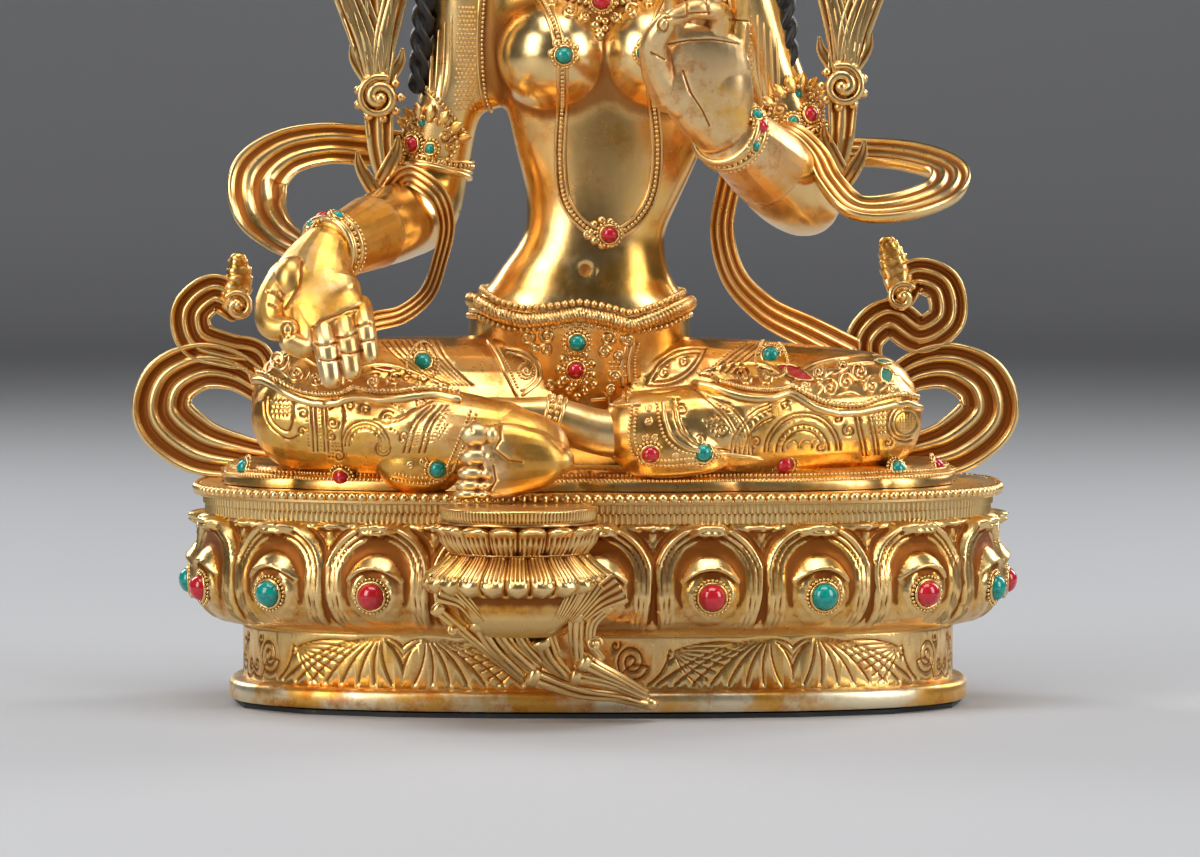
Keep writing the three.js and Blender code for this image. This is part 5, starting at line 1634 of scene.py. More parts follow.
def spray(name, node, side, lift):
    x, y = SPRAY_X, SPRAY_Y
    trunk = [
        [x + 7, y + 1, 72.4, 1.8, 1.6], [x + 2.4, y, 78.4, 2.4, 1.8], [x + 0.6, y, 85, 3, 2],
        [x, y, 94, 3.6, 2.2], [x, y, 104, 3.8, 2.4], [x + 0.6, y, 114, 3, 2.2], [x, y, 124, 3.4, 2.6],
        [x, y, 137, 4.4, 3.6]
    ]
    parts = [limb(trunk, FACING, rows=100, outline=LEAF)]
    for lean, top, wide in [
        (-19, 148, 2.4), (-12.5, 141, 2.6), (-6.5, 137, 2.6), (8.5, 142, 2.4), (4, 137, 2.2)
    ]:
        path = [
            [x + lean * 0.08, y - 1.2, 104, wide * 0.8, 1.5], [x + lean * 0.28, y - 1.6, 116, wide, 1.5],
            [x + lean * 0.7, y - 1, top - 12, wide * 0.9, 1.4], [x + lean, y, top - 2, wide * 0.55, 1.2],
            [x + lean * 1.08, y - 1.4, top - 1.4, wide * 0.4, 1],
            [x + lean * 1.04, y - 2.4, top - 4, wide * 0.3, 0.8]
        ]
        parts.append(limb(path, FACING, rows=50, outline=LEAF))
    for lean, low, high in [(-5.2, 78, 86), (4.6, 82, 90), (-6.6, 106, 114), (5.6, 106, 113)]:
        path = [
            [x, y - 1, low - 4, 1.6, 1.2], [x + lean * 0.5, y - 1.4, low, 1.8, 1.2],
            [x + lean, y - 1.4, high - 3, 1.3, 1], [x + lean * 1.1, y - 2, high, 0.5, 0.6]
        ]
        parts.append(limb(path, FACING, rows=30, outline=LEAF))
    disc = on_figure([x, y - 3.6, 100.5])
    parts.append(volute(disc[0], disc[1], disc[2], 5.0 * PART, 1.7, 1.5, hand=1, start=1.2, columns=10))
    for aside, up in ring_of(9, 5.6):
        parts.append(ball(x + aside, y - 2.4, 100.5 + up, 1.3, 1.2, 1.3))
    base = (x, y, 136)
    for k in range(6):
        parts.append(petal_leaf(base, 157, 6.2, 1.6, k / 6 * ROUND, 8.6))
    for k in range(6):
        parts.append(petal_leaf((x, y, 139), 164, 5.4, 1.4, (k + 0.5) / 6 * ROUND, 5.4))
    parts.append(limb([
        [x, y, 138, 3, 3], [x, y, 150, 4.6, 4.2], [x, y, 160, 3, 2.8], [x, y, 165, 0.8, 0.8]
    ], FACING, 20, 40))
    made = joined(name, parts)
    points = points_of(made)
    points[:, 2] += lift * PART
    set_points(made, points)
    if side > 0:
        mirror(made, SPRAY_MIRROR)
    return finished(made, node, reach=4, thin=0.55)


spray("spray_right", "lotus_spray_right", -1, 0)
spray("spray_left", "lotus_spray_left", 1, SPRAY_LIFT)

# %% [markdown]
# ## The foot lotus
# The let-down foot rests on a lotus of its own: a drum with two rings of petals, the lower one turned
# down, and under them leaves and stems that sweep down to the pedestal's foot.

# %% Foot lotus
FOOT_X, FOOT_Y, FOOT_R = -20, -76, 20
FOOT_TOP = pedestal_high[2] - 2.2
FOOT_HEIGHTS = [
    0.42, 0.5, 0.6, 0.635, 0.66, 0.70, 0.745, 0.79, 0.8, 0.84, 0.9, 0.93, 0.937, 0.955, 0.99, 1, 1
]
FOOT_RADII = [0.6, 0.84, 0.98, 1.14, 1.24, 1.18, 1.02, 0.88, 0.9, 1, 1.05, 1.02, 0.95, 0.985, 0.99, 0.96, 0]
UPPER_PETALS, LOWER_PETALS = 16, 22


def foot_drum(u, v):
    turn = u * ROUND
    knots = np.linspace(0, 1, len(FOOT_HEIGHTS))
    height = np.interp(v, knots, FOOT_HEIGHTS)
    radius = np.interp(v, knots, FOOT_RADII)
    upper = np.abs(np.mod(u * UPPER_PETALS, 1) - 0.5) * 2
    lower = np.abs(np.mod(u * LOWER_PETALS, 1) - 0.5) * 2
    in_upper = step(height, 0.795, 0.8) * (1 - step(height, 0.925, 0.93))
    in_lower = step(height, 0.61, 0.63) * (1 - step(height, 0.78, 0.79))
    top_of = 0.925 - 0.02 * upper**2
    grooved = 0.5 + 0.5 * np.cos(upper * 5.5 * math.pi)
    radius = radius - in_upper * (0.1 * upper**4 + 0.03 * grooved * (height < 0.88) * (upper < 0.8))
    radius += in_upper * 0.05 * hump(height, 0.905, 0.014) * (1 - upper**2)
    radius -= in_upper * 0.06 * step(height, top_of - 0.004, top_of + 0.004)
    grooved = 0.5 + 0.5 * np.cos(lower * 5.5 * math.pi)
    radius -= in_lower * (0.1 * lower**4 + 0.035 * grooved * (height > 0.69) * (lower < 0.8))
    height = height - in_lower * 0.02 * (1 - lower) * (height < 0.66)
    teeth = 0.5 + 0.5 * np.cos(turn * 120)
    radius -= 0.022 * teeth * step(height, 0.94, 0.945) * (1 - step(height, 0.985, 0.99))
    x = FOOT_X + FOOT_R * radius * np.cos(turn)
    y = FOOT_Y + FOOT_R * radius * np.sin(turn)
    return rows_of(x, y, FOOT_TOP * height)


drum = bent_sheet("foot_drum", 528, 84, foot_drum)
FLUTED = twisted(5, 0.12, 0.42)


def bracket_front(z):
    return np.interp(z, [4, 8, 12, 16, 22, 31], [-62, -68, -74, -78, -83, -87])


def foot_stem(points, radius, outline=FLUTED, columns=20, flat=0.8, tip=0.6, out=0.0, caps=(0.3, 0.4)):
    """A stem on the bracket's front through points of [x, z] in millimetres"""
    rows = []
    for k, (x, z) in enumerate(points):
        size = radius * (1 - (1 - tip) * k / (len(points) - 1))
        rows.append([x, bracket_front(z) - out, z, size, size * flat])
    return limb(rows, FACING, columns, 30, caps, outline, place=placed_mm)


VEINED = ribbon(5, 0.7, 0.1, 4)
bracket = [
    [-19, -75, 37, 18, 15], [-17, -73.5, 30, 14, 10.4], [-14, -72, 22, 10, 6.6], [-9, -69.4, 14.6, 6, 4],
    [2, -64.6, 8.8, 3, 2.6], [12, -61.4, 5.2, 2, 2]
]
stems = [limb(bracket, FACING, 48, 60, place=placed_mm)]
for points, radius, tip in (
    ([(-40.5, 31.2), (-30.5, 22.5), (-18.7, 11.9)], 2, 0.7),
    ([(-30.3, 27.4), (-25.4, 20.4), (-18.6, 13.6)], 2.5, 0.7),
    ([(-26.6, 31.2), (-23.4, 22.8), (-16.2, 15.4)], 2.2, 0.9),
    ([(-20.4, 31.2), (-19.2, 23.2), (-14.2, 17.2)], 2, 0.8),
    ([(-16.8, 13.4), (-4.2, 8.8), (6, 7.2), (12.6, 5.2)], 2.9, 0.55),
    ([(-14.3, 22.6), (-11.6, 17.6), (-7.8, 13.4)], 2.4, 0.8),
    ([(-6.2, 13.2), (2.8, 11.2), (12.1, 6.9)], 2.2, 0.6), ([(-3.9, 17), (5, 12.4), (12.2, 8)], 2.2, 0.5),
    ([(-5.6, 29.6), (-5.5, 23), (-5, 17.6)], 2.3, 0.8),
    ([(-12.2, 30.6), (-12.4, 25.4), (-10.4, 19.4)], 1.9, 0.8),
    ([(2.4, 31.6), (-1.4, 27), (-1.6, 21.6), (1.2, 17.6)], 1.9, 0.5)
):
    stems.append(foot_stem(points, radius, tip=tip))
    (x, z), (x1, z1) = points[0], points[1]
    way = np.array([x1 - x, z1 - z]) / math.hypot(x1 - x, z1 - z)
    collar_end = (x + way[0] * 1.6, z + way[1] * 1.6)
    stems.append(foot_stem(
        [(x, z), collar_end], radius * 1.12, circle, 14, tip=0.94, out=0.1, caps=(0.5, 0.1)
    ))
for points in ([(-38.6, 36.4), (-33.4, 33.4), (-29.6, 27.4)], [(5.4, 36.2), (0.2, 33), (-3.8, 28.6)]):
    stems.append(foot_stem(points, 4, VEINED, flat=0.35, tip=0.35, out=1.6))
for k in range(9):
    x = -35 + 4.3 * k
    stems.append(foot_stem(
        [(x, 37.4), (x * 0.8 - 3.2, 32.6), (x * 0.62 - 6.4, 28.4)], 2.4, VEINED, flat=0.5, tip=0.4, out=4.2
    ))
for x, z, radius, hand in (
    (-22.6, 26.2, 1.9, 1), (-12.6, 26.8, 2, -1), (-0.8, 21.6, 1.7, 1), (-36.4, 25.2, 1.2, 1)
):
    stems.append(volute(x, bracket_front(z) - 1.2, z, radius, 1.3, 0.7, hand=hand))
stems.append(ball(13.4 / PART, -62.4 / PART, (4.6 - SEAT) / PART, 2.1, 1.9, 1.7))
foot_lotus = joined("small_lotus", [drum] + stems)
finished(foot_lotus, "foot_lotus", reach=5, thin=0.45)

# %% [markdown]
# ## The hem
# The skirt's edge spreads over the seat as a low bank with a scalloped, beaded border. Two rows of beads
# run along it with a plain fillet between them.

# %% Hem
HEM_INSET, HEM_SCALLOPS, HEM_DIP = 11, 13, 2.2
HEM_THICK, HEM_SLOPE, HEM_SHIFT = 5.2, 4.6, -2.5
HEM_PLEATS = 300
HEM_KNOTS = [0, 0.1, 0.2, 0.3, 0.4, 0.5, 0.6, 0.8, 1]


def hem_edge(share, inset):
    wave = np.abs(np.sin(share * HEM_SCALLOPS * math.pi))
    x, y = plan(turn_at(share), HEM_INSET + inset + HEM_DIP * (1 - wave) ** 2)
    return x + HEM_SHIFT, y


def hem_bank(u, v):
    inset = np.interp(v, HEM_KNOTS, [0, 0, 0.4, 1.2, 2.0, 3.2, HEM_SLOPE, 10, 40])
    high = np.interp(v, HEM_KNOTS, [0, 1.6, 2.6, 3.2, 3.6, 4.2, HEM_THICK, 5.2, 4.6])
    pleats = np.cos(u * ROUND * HEM_PLEATS + 1.2 * inset)
    fold = 0.22 * pleats * step(inset, 3.4, 4.6) * (1 - step(inset, 12, 16))
    x, y = hem_edge(u, inset)
    return rows_of(x, y, SEAT + high + fold)


hem = bent_sheet("hem_bank", 1200, 22, hem_bank)
hem_shares = np.linspace(0, 1, 900, endpoint=False)
rows = []
for inset, high, size in ((0.5, 2.7, 0.55), (2.2, 3.9, 0.5)):
    x, y = hem_edge(hem_shares, inset)
    rows.append(bead_row(rows_of(x, y, SEAT + high), size, 1.12, closed=True))
hem = joined("skirt_hem", [hem] + rows)
finished(hem, reach=3, thin=0.45)

# %% [markdown]
# ## Belt
# The belt is a thick twisted roll between two rows of beads. It dips in front, so its height is drawn as a
# curve across the body, and it closes behind at one level.

# %% Belt
body_tree = skin_tree(body)
BELT_CENTRE = Vector((-4.8, 4, 0))
BELT_TOP = [
    (-31.4, 108.8), (-26.3, 105.7), (-19, 103.7), (-11.8, 104.4), (-4.7, 105.6), (2.6, 104.2), (8.3, 102.3),
    (15.5, 104.7), (23.2, 108)
]
BELT_LOW = [
    (-31, 101.4), (-23.2, 98.2), (-14.8, 98.2), (-5.7, 100.1), (2.6, 98.5), (10.4, 97.5), (18, 99),
    (23.2, 101.6)
]


def girdle(tree, heights, lift, count=160):
    """A closed path round the body at heights given across its front"""
    xs, zs = np.array(heights).T
    found = []
    for turn in np.linspace(0, ROUND, count, endpoint=False):
        way = Vector((-math.sin(turn), math.cos(turn), 0))
        z = zs[0]
        for _ in range(3):
            start = BELT_CENTRE - way * 80 + Vector((0, 0, z))
            hit, _, _, _ = tree.ray_cast(start, way)
            x = hit.x
            t = min(max((x - xs[0]) / (xs[-1] - xs[0]), 0), 1)
            z = np.interp(x, xs, zs) if math.cos(turn) > 0 else zs[0] + (zs[-1] - zs[0]) * t
        found.append(tuple(hit - way * lift))
    path = np.array(found)
    for _ in range(3):
        path = (np.roll(path, 1, 0) + 2 * path + np.roll(path, -1, 0)) / 4
    return np.vstack([path, path[:1]])


belt_top = girdle(body_tree, BELT_TOP, 0.7)
belt_roll = girdle(body_tree, np.array(BELT_TOP) - (0, 3.3), 0.7)
belt_low = girdle(body_tree, BELT_LOW, 0.5)
belt_plain = girdle(body_tree, np.array(BELT_LOW) + (0, 1.5), 0.3)
belt = joined("belt", [
    bead_row(belt_top[:-1], 0.95, closed=True, shape=one_bead(8, 5)),
    along_path(belt_roll, 2.15, 16, twisted(3, 52, 0.3), up=UP, rows=980),
    bead_row(belt_low[:-1], 0.85, closed=True), along_path(belt_plain, 0.7, 8, up=UP, rows=200)
])
finished(belt, reach=3, thin=0.7)

# %% [markdown]
# ## The jewel under the belt
# From the belt hangs a flower of gilt petals round its stone, with curled leaves on both sides, and the
# skirt's panels fall away from it. It all lies on the lap, so it is dropped onto body and legs together.

# %% Jewel and lap
lap_tree = skin_tree(body, right_leg, left_leg)
lap = []
UPPER_JEWEL, LOWER_JEWEL = (-5.4, 94.9), (-5.7, 87.8)
for x, z, reach, hand, start in (
    (-18.4, 96, 1.7, 1, 0.5), (-13.2, 96.6, 2, -1, 2), (-13.6, 92.9, 1.6, 1, 3.4), (7.8, 95.6, 1.7, -1, 2.6),
    (2.6, 96, 2, 1, 1), (1.8, 92.4, 1.6, -1, 0.2), (5.2, 91.4, 1.2, 1, 1.4), (-16.4, 93.4, 1.2, -1, 2),
    (4.6, 86, 1.4, 1, 3), (3.4, 82.4, 1.2, -1, 1), (-12.4, 83.6, 1.2, 1, 2)
):
    lap.append(laid_spiral(lap_tree, x, z, reach, 1.5, 0.6, hand, start))
for (x, z), reach, count, size in ((LOWER_JEWEL, 4.2, 9, 1.25), (UPPER_JEWEL, 3.5, 16, 0.55)):
    for aside, up in ring_of(count, reach, 0.5):
        for point in dropped(lap_tree, [(x + aside, z + up)], 0.2):
            lap.append(grain(point, size, size * 0.9))
for point in dropped(lap_tree, [(-3.4, 82.2), (-7.6, 82.4), (-5.4, 80.8), (-1.2, 83.8), (-9.8, 84)], 0.2):
    lap.append(grain(point, 1.15, 1))
for flat in (
    curve((-24.4, 93.2), (-19.6, 92.4), (-15.6, 89.4), (-15.2, 85), (-19.6, 81.2)),
    curve((-23.6, 91.9), (-19.8, 91.1), (-16.7, 88.8), (-16.4, 85.4), (-19.8, 82.4)),
    curve((-28.9, 94.9), (-26, 90.6), (-24, 86.4), (-21.2, 81)), curve((7.4, 93.6), (6.2, 88.6), (6.6, 82.4)),
    curve((9.2, 94.6), (8, 89.6), (8.2, 83)), curve((-1.6, 79.8), (4.6, 80.2), (10.6, 80.6))
):
    lap.append(laid(lap_tree, flat, 0.48, 0.4, 7))
for flat in (
    curve((-26.6, 93.6), (-23.6, 88.8), (-21, 83.2)), curve((10.6, 94.4), (9.6, 89.8), (9.8, 84.2)),
    np.array([(-18.8 + 2.0 * math.cos(t), 87.3 + 2.0 * math.sin(t)) for t in np.linspace(0, 6.28, 24)])
):
    lap.append(laid_beads(lap_tree, flat, 0.42))
lap.append(laid_spiral(lap_tree, -18.8, 87.3, 1.3, 1.3, 0.4, 1, 0.0))
for row in range(5):
    for column in range(4):
        for point in dropped(lap_tree, [(3.0 + 1.15 * column + 0.55 * (row % 2), 89.6 - 1.2 * row)], 0.1):
            lap.append(grain(point, 0.5, 0.5))
finished(joined("lap_jewel", lap), reach=3, thin=0.7)

# %% [markdown]
# ## Necklaces
# A collar of small leaves lies on the chest, and a long string of beads hangs from it to the waist. Both
# are drawn in the figure's parts from in front, and dropped onto the chest.

# %% Necklaces
CHAIN = [
    [-18, 132], [-12, 121], [-9.6, 112], [-9.4, 97], [-9.8, 84], [-8.2, 73], [-2.8, 66.4], [3, 64.4],
    [9, 67.4], [13.6, 74], [15.4, 85], [14.6, 98], [13.4, 111], [16, 121.4], [21.4, 132]
]


def on_front(points, lift, count=120):
    """A smooth path through points of [x, z] in parts, dropped on the body"""
    flat = smooth_path(np.array(points, float) * PART + (0, SEAT), count)
    return dropped(body_tree, flat, lift)


def on_arm(points, lift, count):
    """The same, without what falls on the forearm in front"""
    found = on_front(points, lift, count)
    return found[found[:, 1] > -11 * PART]


def beside(points, shift):
    """A flat path moved sideways"""
    points = smooth_path(np.array(points, float), 120)
    way = np.gradient(points, axis=0)
    way /= np.linalg.norm(way, axis=1, keepdims=True)
    return points + rows_of(-way[:, 1], way[:, 0]) * shift


chain = [bead_row(on_front(CHAIN, 0.45, 160), 0.62, 1.2)]
chain += [along_path(on_front(beside(CHAIN, shift), 0.35, 160), 0.42, 8, rows=420) for shift in (-1.15, 1.15)]
for x, z, reach, count, size in (
    (-8.8, 112, 3.1, 7, 1.15), (13.2, 112.2, 3.1, 7, 1.15), (1.6, 65.2, 3.3, 9, 1.05),
    (0.6, 119.2, 1.6, 5, 1.1), (0.5, 116.4, 0.1, 1, 1.3)
):
    for aside, up in ring_of(count, reach, 0.5):
        for point in on_front([[x + aside, z + up]] * 2, 0.3, 1):
            chain.append(grain(point, size, size * 0.8))
for x, z, reach, hand_of in (
    (-7.6, 123, 1.9, 1), (8.8, 123, 1.9, -1), (-3.4, 121.4, 1.5, -1), (4.6, 121.4, 1.5, 1),
    (-12.4, 125.4, 1.6, 1), (13.4, 125.4, 1.6, -1), (-2.6, 64.8, 1.2, 1), (5.8, 65.2, 1.2, -1)
):
    chain.append(laid_spiral(body_tree, x * PART, z * PART + SEAT, reach, 1.5, 0.55, hand_of, 0.6))
# the shawl on the shoulders: rows of small scales between borders of beads
for side, centre in ((1, 0), (-1, 3.4)):
    edge = [
        (centre - side * 29.8, 126), (centre - side * 30.4, 113.5), (centre - side * 29.5, 101),
        (centre - side * 28.2, 97)
    ]
    end = [(centre - side * 45, 103), (centre - side * 38.2, 95.6), (centre - side * 34.4, 89.6)]
    for path in (edge, end):
        chain.append(bead_row(on_arm(path, 0.3, 60), 0.6, 1.2))
        chain.append(along_path(on_arm([(x - side * 1.3, z + 0.3) for x, z in path], 0.2, 60), 0.35, 6))
    for row in range(24):
        z = 124 - 1.15 * row
        left, right = 36.4 + 0.05 * row, 31.8
        aside = left + (right - left) * (np.arange(5) + 0.5 * (row % 2)) / 5
        for bx, by, bz in dropped(body_tree, rows_of(centre - side * aside, z) * PART + (0, SEAT), 0.05):
            if by < -11 * PART:
                continue
            chain.append(copies(
                "scale", SMALL_BEAD,
                bead_frames(np.array([[bx, by, bz], [bx + 0.01, by, bz]]), (0.5, 0.5, 0.4))
            ))
    for k in range(4):
        flat = [
            (centre - side * (38.4 + 1.7 * k), 122 - 2 * k), (centre - side * (38.8 + 1.7 * k), 108),
            (centre - side * (40 + 1.4 * k), 100.5)
        ]
        chain.append(along_path(on_arm(flat, 0.1, 40), 0.5, 6, taper=True))
collar_turns = np.linspace(-2.3, 2.3, 60)


def collar_point(turn, drop, wide):
    x = 1.6 + wide * np.sin(turn)
    z = 150.5 - drop * ((1 + np.cos(turn)) / 2) ** 1.6
    return np.stack([x, z], axis=-1)


collar = []
for drop, wide, size in ((17, 17, 0.8), (20, 18.5, 0.6), (26, 22.5, 0.8)):
    path = dropped(body_tree, collar_point(collar_turns, drop, wide) * PART + (0, SEAT), 0.5)
    collar.append(bead_row(path, size))
for turn in np.linspace(-1.9, 1.9, 23):
    high, low = (
        dropped(body_tree, [collar_point(turn, *reach) * PART + (0, SEAT)], 0.3)
        for reach in ((20.6, 19), (25.4, 22))
    )
    if len(high) and len(low):
        middle = (high[0] + low[0]) / 2 + (0, -0.4, 0)
        collar.append(limb(
            [[*high[0], 1, 0.7], [*middle, 1.25, 1], [*low[0], 0.35, 0.5]], FACING, 10, 14, place=placed_mm
        ))
finished(joined("necklaces", chain + collar), reach=2, thin=0.6)

# %% [markdown]
# ## Bands on the arms
# Armlets and bracelets are rings of beads and wire round the arm's own centreline, with a leafy plate in
# front. The rings are made from the same splines as the arms.

# %% Armlets, bracelets and the anklet
def ring_round(stations, share, grow, size, up=BACK, beads=True, count=64):
    """A ring of beads or wire round a limb at a share of its length"""
    path = spline(stations_mm(stations))
    turns = np.linspace(0, ROUND, count, endpoint=False)
    centre, half, across, lift, ahead = limb_frame(path, np.full(count, share), up)
    reach = half + grow
    c, s = circle(turns)
    points = centre + across * (c * reach[:, 0])[:, None] + lift * (s * reach[:, 1])[:, None]
    if beads:
        return bead_row(points, size, closed=True)
    return along_path(np.vstack([points, points[:1]]), size, 8, up=tuple(ahead[0]), rows=count * 2)


def arm_point(stations, share, degrees, out):
    """A point in front of a limb's skin, by share and degrees round from the front, with its outward way"""
    path = spline(stations_mm(stations))
    centre, half, _, _, ahead = (row[0] for row in limb_frame(path, np.array([share]), BACK))
    front = Vector(FACING) - Vector(ahead) * Vector(FACING).dot(Vector(ahead))
    way = Matrix.Rotation(math.radians(degrees), 3, Vector(ahead)) @ front.normalized()
    return Vector(centre) + way * (half.mean() + out), way, Vector(ahead)


def leaf_on(point, way, along, wide, high, thick=0.8):
    """A pointed leaf that stands on the skin at a point: way is outwards, along its length"""
    along = (along - way * along.dot(way)).normalized()
    rows = []
    for t, w in ((-0.5, 0.35), (-0.2, 0.9), (0.1, 1), (0.35, 0.55), (0.5, 0.12)):
        rows.append([*(point + along * (t * high)), w * wide / 2, thick * (0.6 + 0.4 * w)])
    return limb(rows, tuple(way), rows=24, outline=ribbon(3, 0.5, -0.25, 4), place=placed_mm)


RIGHT_ARMLET, LEFT_ARMLET = 0.39, 0.347
bands = []
for stations, middle, turn in ((RIGHT_ARM, RIGHT_ARMLET, 25), (LEFT_ARM, LEFT_ARMLET, -25)):
    for offset, size, beads in (
        (0.024, 0.45, False), (0.034, 0.75, True), (0.046, 0.55, False), (0.058, 0.8, False)
    ):
        bands.append(ring_round(stations, middle + offset, 0.3, size, beads=beads))
    centre, way, ahead = arm_point(stations, middle - 0.01, turn, 0.2)
    across = way.cross(ahead)
    plate = []
    for k in range(26):
        angle = k / 26 * ROUND
        away = across * (8.2 * math.cos(angle)) + ahead * (6.2 * math.sin(angle) - 0.5)
        plate.append(centre + away - way * (0.045 * (away.dot(across)) ** 2))
    bands.append(bead_row(np.array(plate), 0.7, closed=True))
    for k in range(7):
        angle = math.radians(-160 + 140 * k / 6)
        away = across * (9.6 * math.cos(angle)) + ahead * (7.6 * math.sin(angle) - 0.5)
        point = centre + away - way * (0.045 * (away.dot(across)) ** 2)
        bands.append(leaf_on(point, way, away, 2.6, 4.6, 0.7))
    for degrees, offset in ((-46, -0.012), (46, -0.012), (-32, -0.03), (32, -0.03)):
        point, _, _ = arm_point(stations, middle + offset, turn + degrees, 0.3)
        bands.append(volute(point.x, point.y, point.z, 1.6, 1.3, 0.5, hand=1 if degrees > 0 else -1))
for stations in (RIGHT_ARM, LEFT_ARM):
    for share, size, beads in (
        (0.93, 0.6, True), (0.945, 0.7, False), (0.962, 0.75, True), (0.978, 0.7, False), (0.992, 0.95, False)
    ):
        bands.append(ring_round(stations, share, 0.5, size, beads=beads))
for share, size, beads in ((0.45, 0.5, False), (0.475, 0.8, True), (0.51, 0.8, True), (0.535, 0.5, False)):
    bands.append(ring_round(LEFT_ANKLE, share, 0.2, size, up=UP, beads=beads))
finished(joined("arm_bands", bands), reach=2, thin=0.5)

# %% [markdown]
# ## The head
# The photo ends below the chin, so the head follows the canon: the face is three equal parts, brow, nose
# and mouth, under half-closed lids. It is a skin of its own, and the fine features are pressed into it.

# %% Head
FACE = 1.6
HEAD = [
    [170.5, FACE, -6.5, 6.5, 6], [175, FACE, -4, 11.4, 11.6], [182, FACE, -1.6, 15, 16],
    [191, FACE, 0.6, 17, 18.8], [204, FACE, 2, 17.8, 20], [216, FACE, 2.6, 17.6, 19.8], [228, FACE, 4, 12, 14]
]
head_parts = [
    levels(HEAD, 64, 90),
    limb([
        [FACE, -15.2, 204.5, 2.6, 1.6], [FACE, -17.4, 199, 2.2, 1.9], [FACE, -19.2, 193, 2.4, 1.9],
        [FACE, -19.4, 190.8, 2.6, 1.7]
    ], BACK, 20, 24),
    ball(FACE - 2.4, -18.2, 190.4, 1.9, 2, 1.6), ball(FACE + 2.4, -18.2, 190.4, 1.9, 2, 1.6),
    ball(FACE, -16.9, 184.6, 4.4, 2, 1.3), ball(FACE, -16.4, 182.2, 3.4, 2.2, 1.5),
    ball(FACE, -13.6, 176.6, 4.4, 3.4, 3.6),
    levels([
        [152.6, FACE, 4.4, 9.4, 8.4], [156.2, FACE, 4, 11, 10], [158.4, FACE, 3.6, 10.5, 10.3],
        [160.4, FACE, 3.2, 11, 10.6], [162.6, FACE, 2.8, 10.4, 10.2], [164.8, FACE, 2.4, 10.9, 10.5],
        [167, FACE, 2, 10.4, 10.2], [169.4, FACE, 1.8, 10.9, 10.6], [176, FACE, 1.6, 9, 9.6]
    ], 64, 90)
]
for side in (-1, 1):
    head_parts += [
        ball(FACE + side * 7, -14.4, 198.4, 4.3, 2.6, 2.3), ball(FACE + side * 7, -3.4, 188.4, 9.6, 12.2, 11),
        limb([
            [FACE + side * 17.4, 4.2, 203, 3.2, 1.5], [FACE + side * 18.6, 4, 197, 3.4, 1.6],
            [FACE + side * 18.6, 3.4, 189, 2.4, 1.5], [FACE + side * 17.8, 2.6, 179, 2.2, 1.5]
        ], (side, 0, 0), 20, 40)
    ]
face = fused("face", head_parts, voxel=0.45, smooth=12)


def press_face(piece):
    """Brows, lids and lips, drawn across the front of the face"""
    points = points_of(piece)
    x = points[:, 0] / PART - FACE
    z = (points[:, 2] - SEAT) / PART
    front = step(-points[:, 1] / PART, 7, 10) * (np.abs(x) < 14)
    side = np.abs(x)
    brow = 203.6 + 2.4 * np.sin(np.clip((side - 1.5) / 11.5, 0, 1) * math.pi) - 0.1 * side
    lid = 199.2 + 1.5 * np.clip(1 - ((side - 7.2) / 5) ** 2, 0, 1) - 0.9
    low = 197.6 - 0.7 * np.clip(1 - ((side - 7.2) / 5) ** 2, 0, 1)
    eye = (side > 2.6) & (side < 12)
    out = 0.35 * hump(z, brow, 0.55) * step(side, 1.2, 2) * (1 - step(side, 12, 14))
    out -= 0.4 * hump(z, brow - 2.4, 1.1) * step(side, 2, 4) * (1 - step(side, 10, 13))
    out -= 0.45 * hump(z, lid - 0.1, 0.3) * eye
    out += 0.3 * hump(z, lid + 0.6, 0.5) * eye
    out += 0.18 * hump(z, low, 0.35) * eye
    mouth = 183.5 + 0.35 * np.clip(side / 4.2, 0, 1) ** 2 - 0.25 * hump(side, 0, 0.8)
    out -= 0.55 * hump(z, mouth, 0.32) * (1 - step(side, 4, 5.2))
    out -= 0.3 * hump(side, 0, 0.6) * hump(z, 187.2, 1.1)
    out -= 0.5 * hump(side, 5, 1) * hump(z, 183.8, 1)
    points += normals_of(piece) * (out * front * PART)[:, None]
    set_points(piece, points)


press_face(face)
urna = ball(FACE, -18, 205.2, 0.9, 0.7, 0.9)
face = joined("face", [face, urna])
finished(face, material=GILT_RUBBED, reach=12, thin=0.35)

# %% Hair
HAIR = [
    [207, FACE, 3.6, 18.6, 20.4], [211.5, FACE, 2.8, 20, 22.2], [217.5, FACE, 2.8, 20, 22.2],
    [228, FACE, 4.8, 13, 14.4], [232, FACE, 5.2, 9, 9.4]
]


def combed(name, stations, locks, twist, columns, rows):
    """Level rings whose surface is grooved into locks that lean as they rise"""
    made = levels(stations, columns, rows, name)
    points = points_of(made)
    middle = on_figure([FACE, 4.2, 0])
    turn = np.arctan2(points[:, 0] - middle[0], -(points[:, 1] - middle[1]))
    high = (points[:, 2] - SEAT) / PART
    groove = np.abs(np.sin(turn * locks / 2 + twist * high)) ** 0.6
    points -= normals_of(made) * ((1 - groove) * 0.55 * PART)[:, None]
    set_points(made, points)
    return made


hair_parts = [combed("cap", HAIR, 44, 0.12, 220, 60)]
hair_parts.append(combed("topknot", [
    [229, FACE, 5, 9.6, 10], [234, FACE, 5.4, 8.6, 8.8], [240, FACE, 5.4, 10, 10], [247, FACE, 5.4, 7.4, 7.4],
    [251, FACE, 5.4, 4, 4]
], 20, 0.35, 120, 50))


def strands(angle, along):
    reach = 1 - 0.16 * np.abs(np.sin(angle * 9 + 3 * np.sin(along * 5))) ** 0.7
    return reach * np.cos(angle), reach * np.sin(angle)


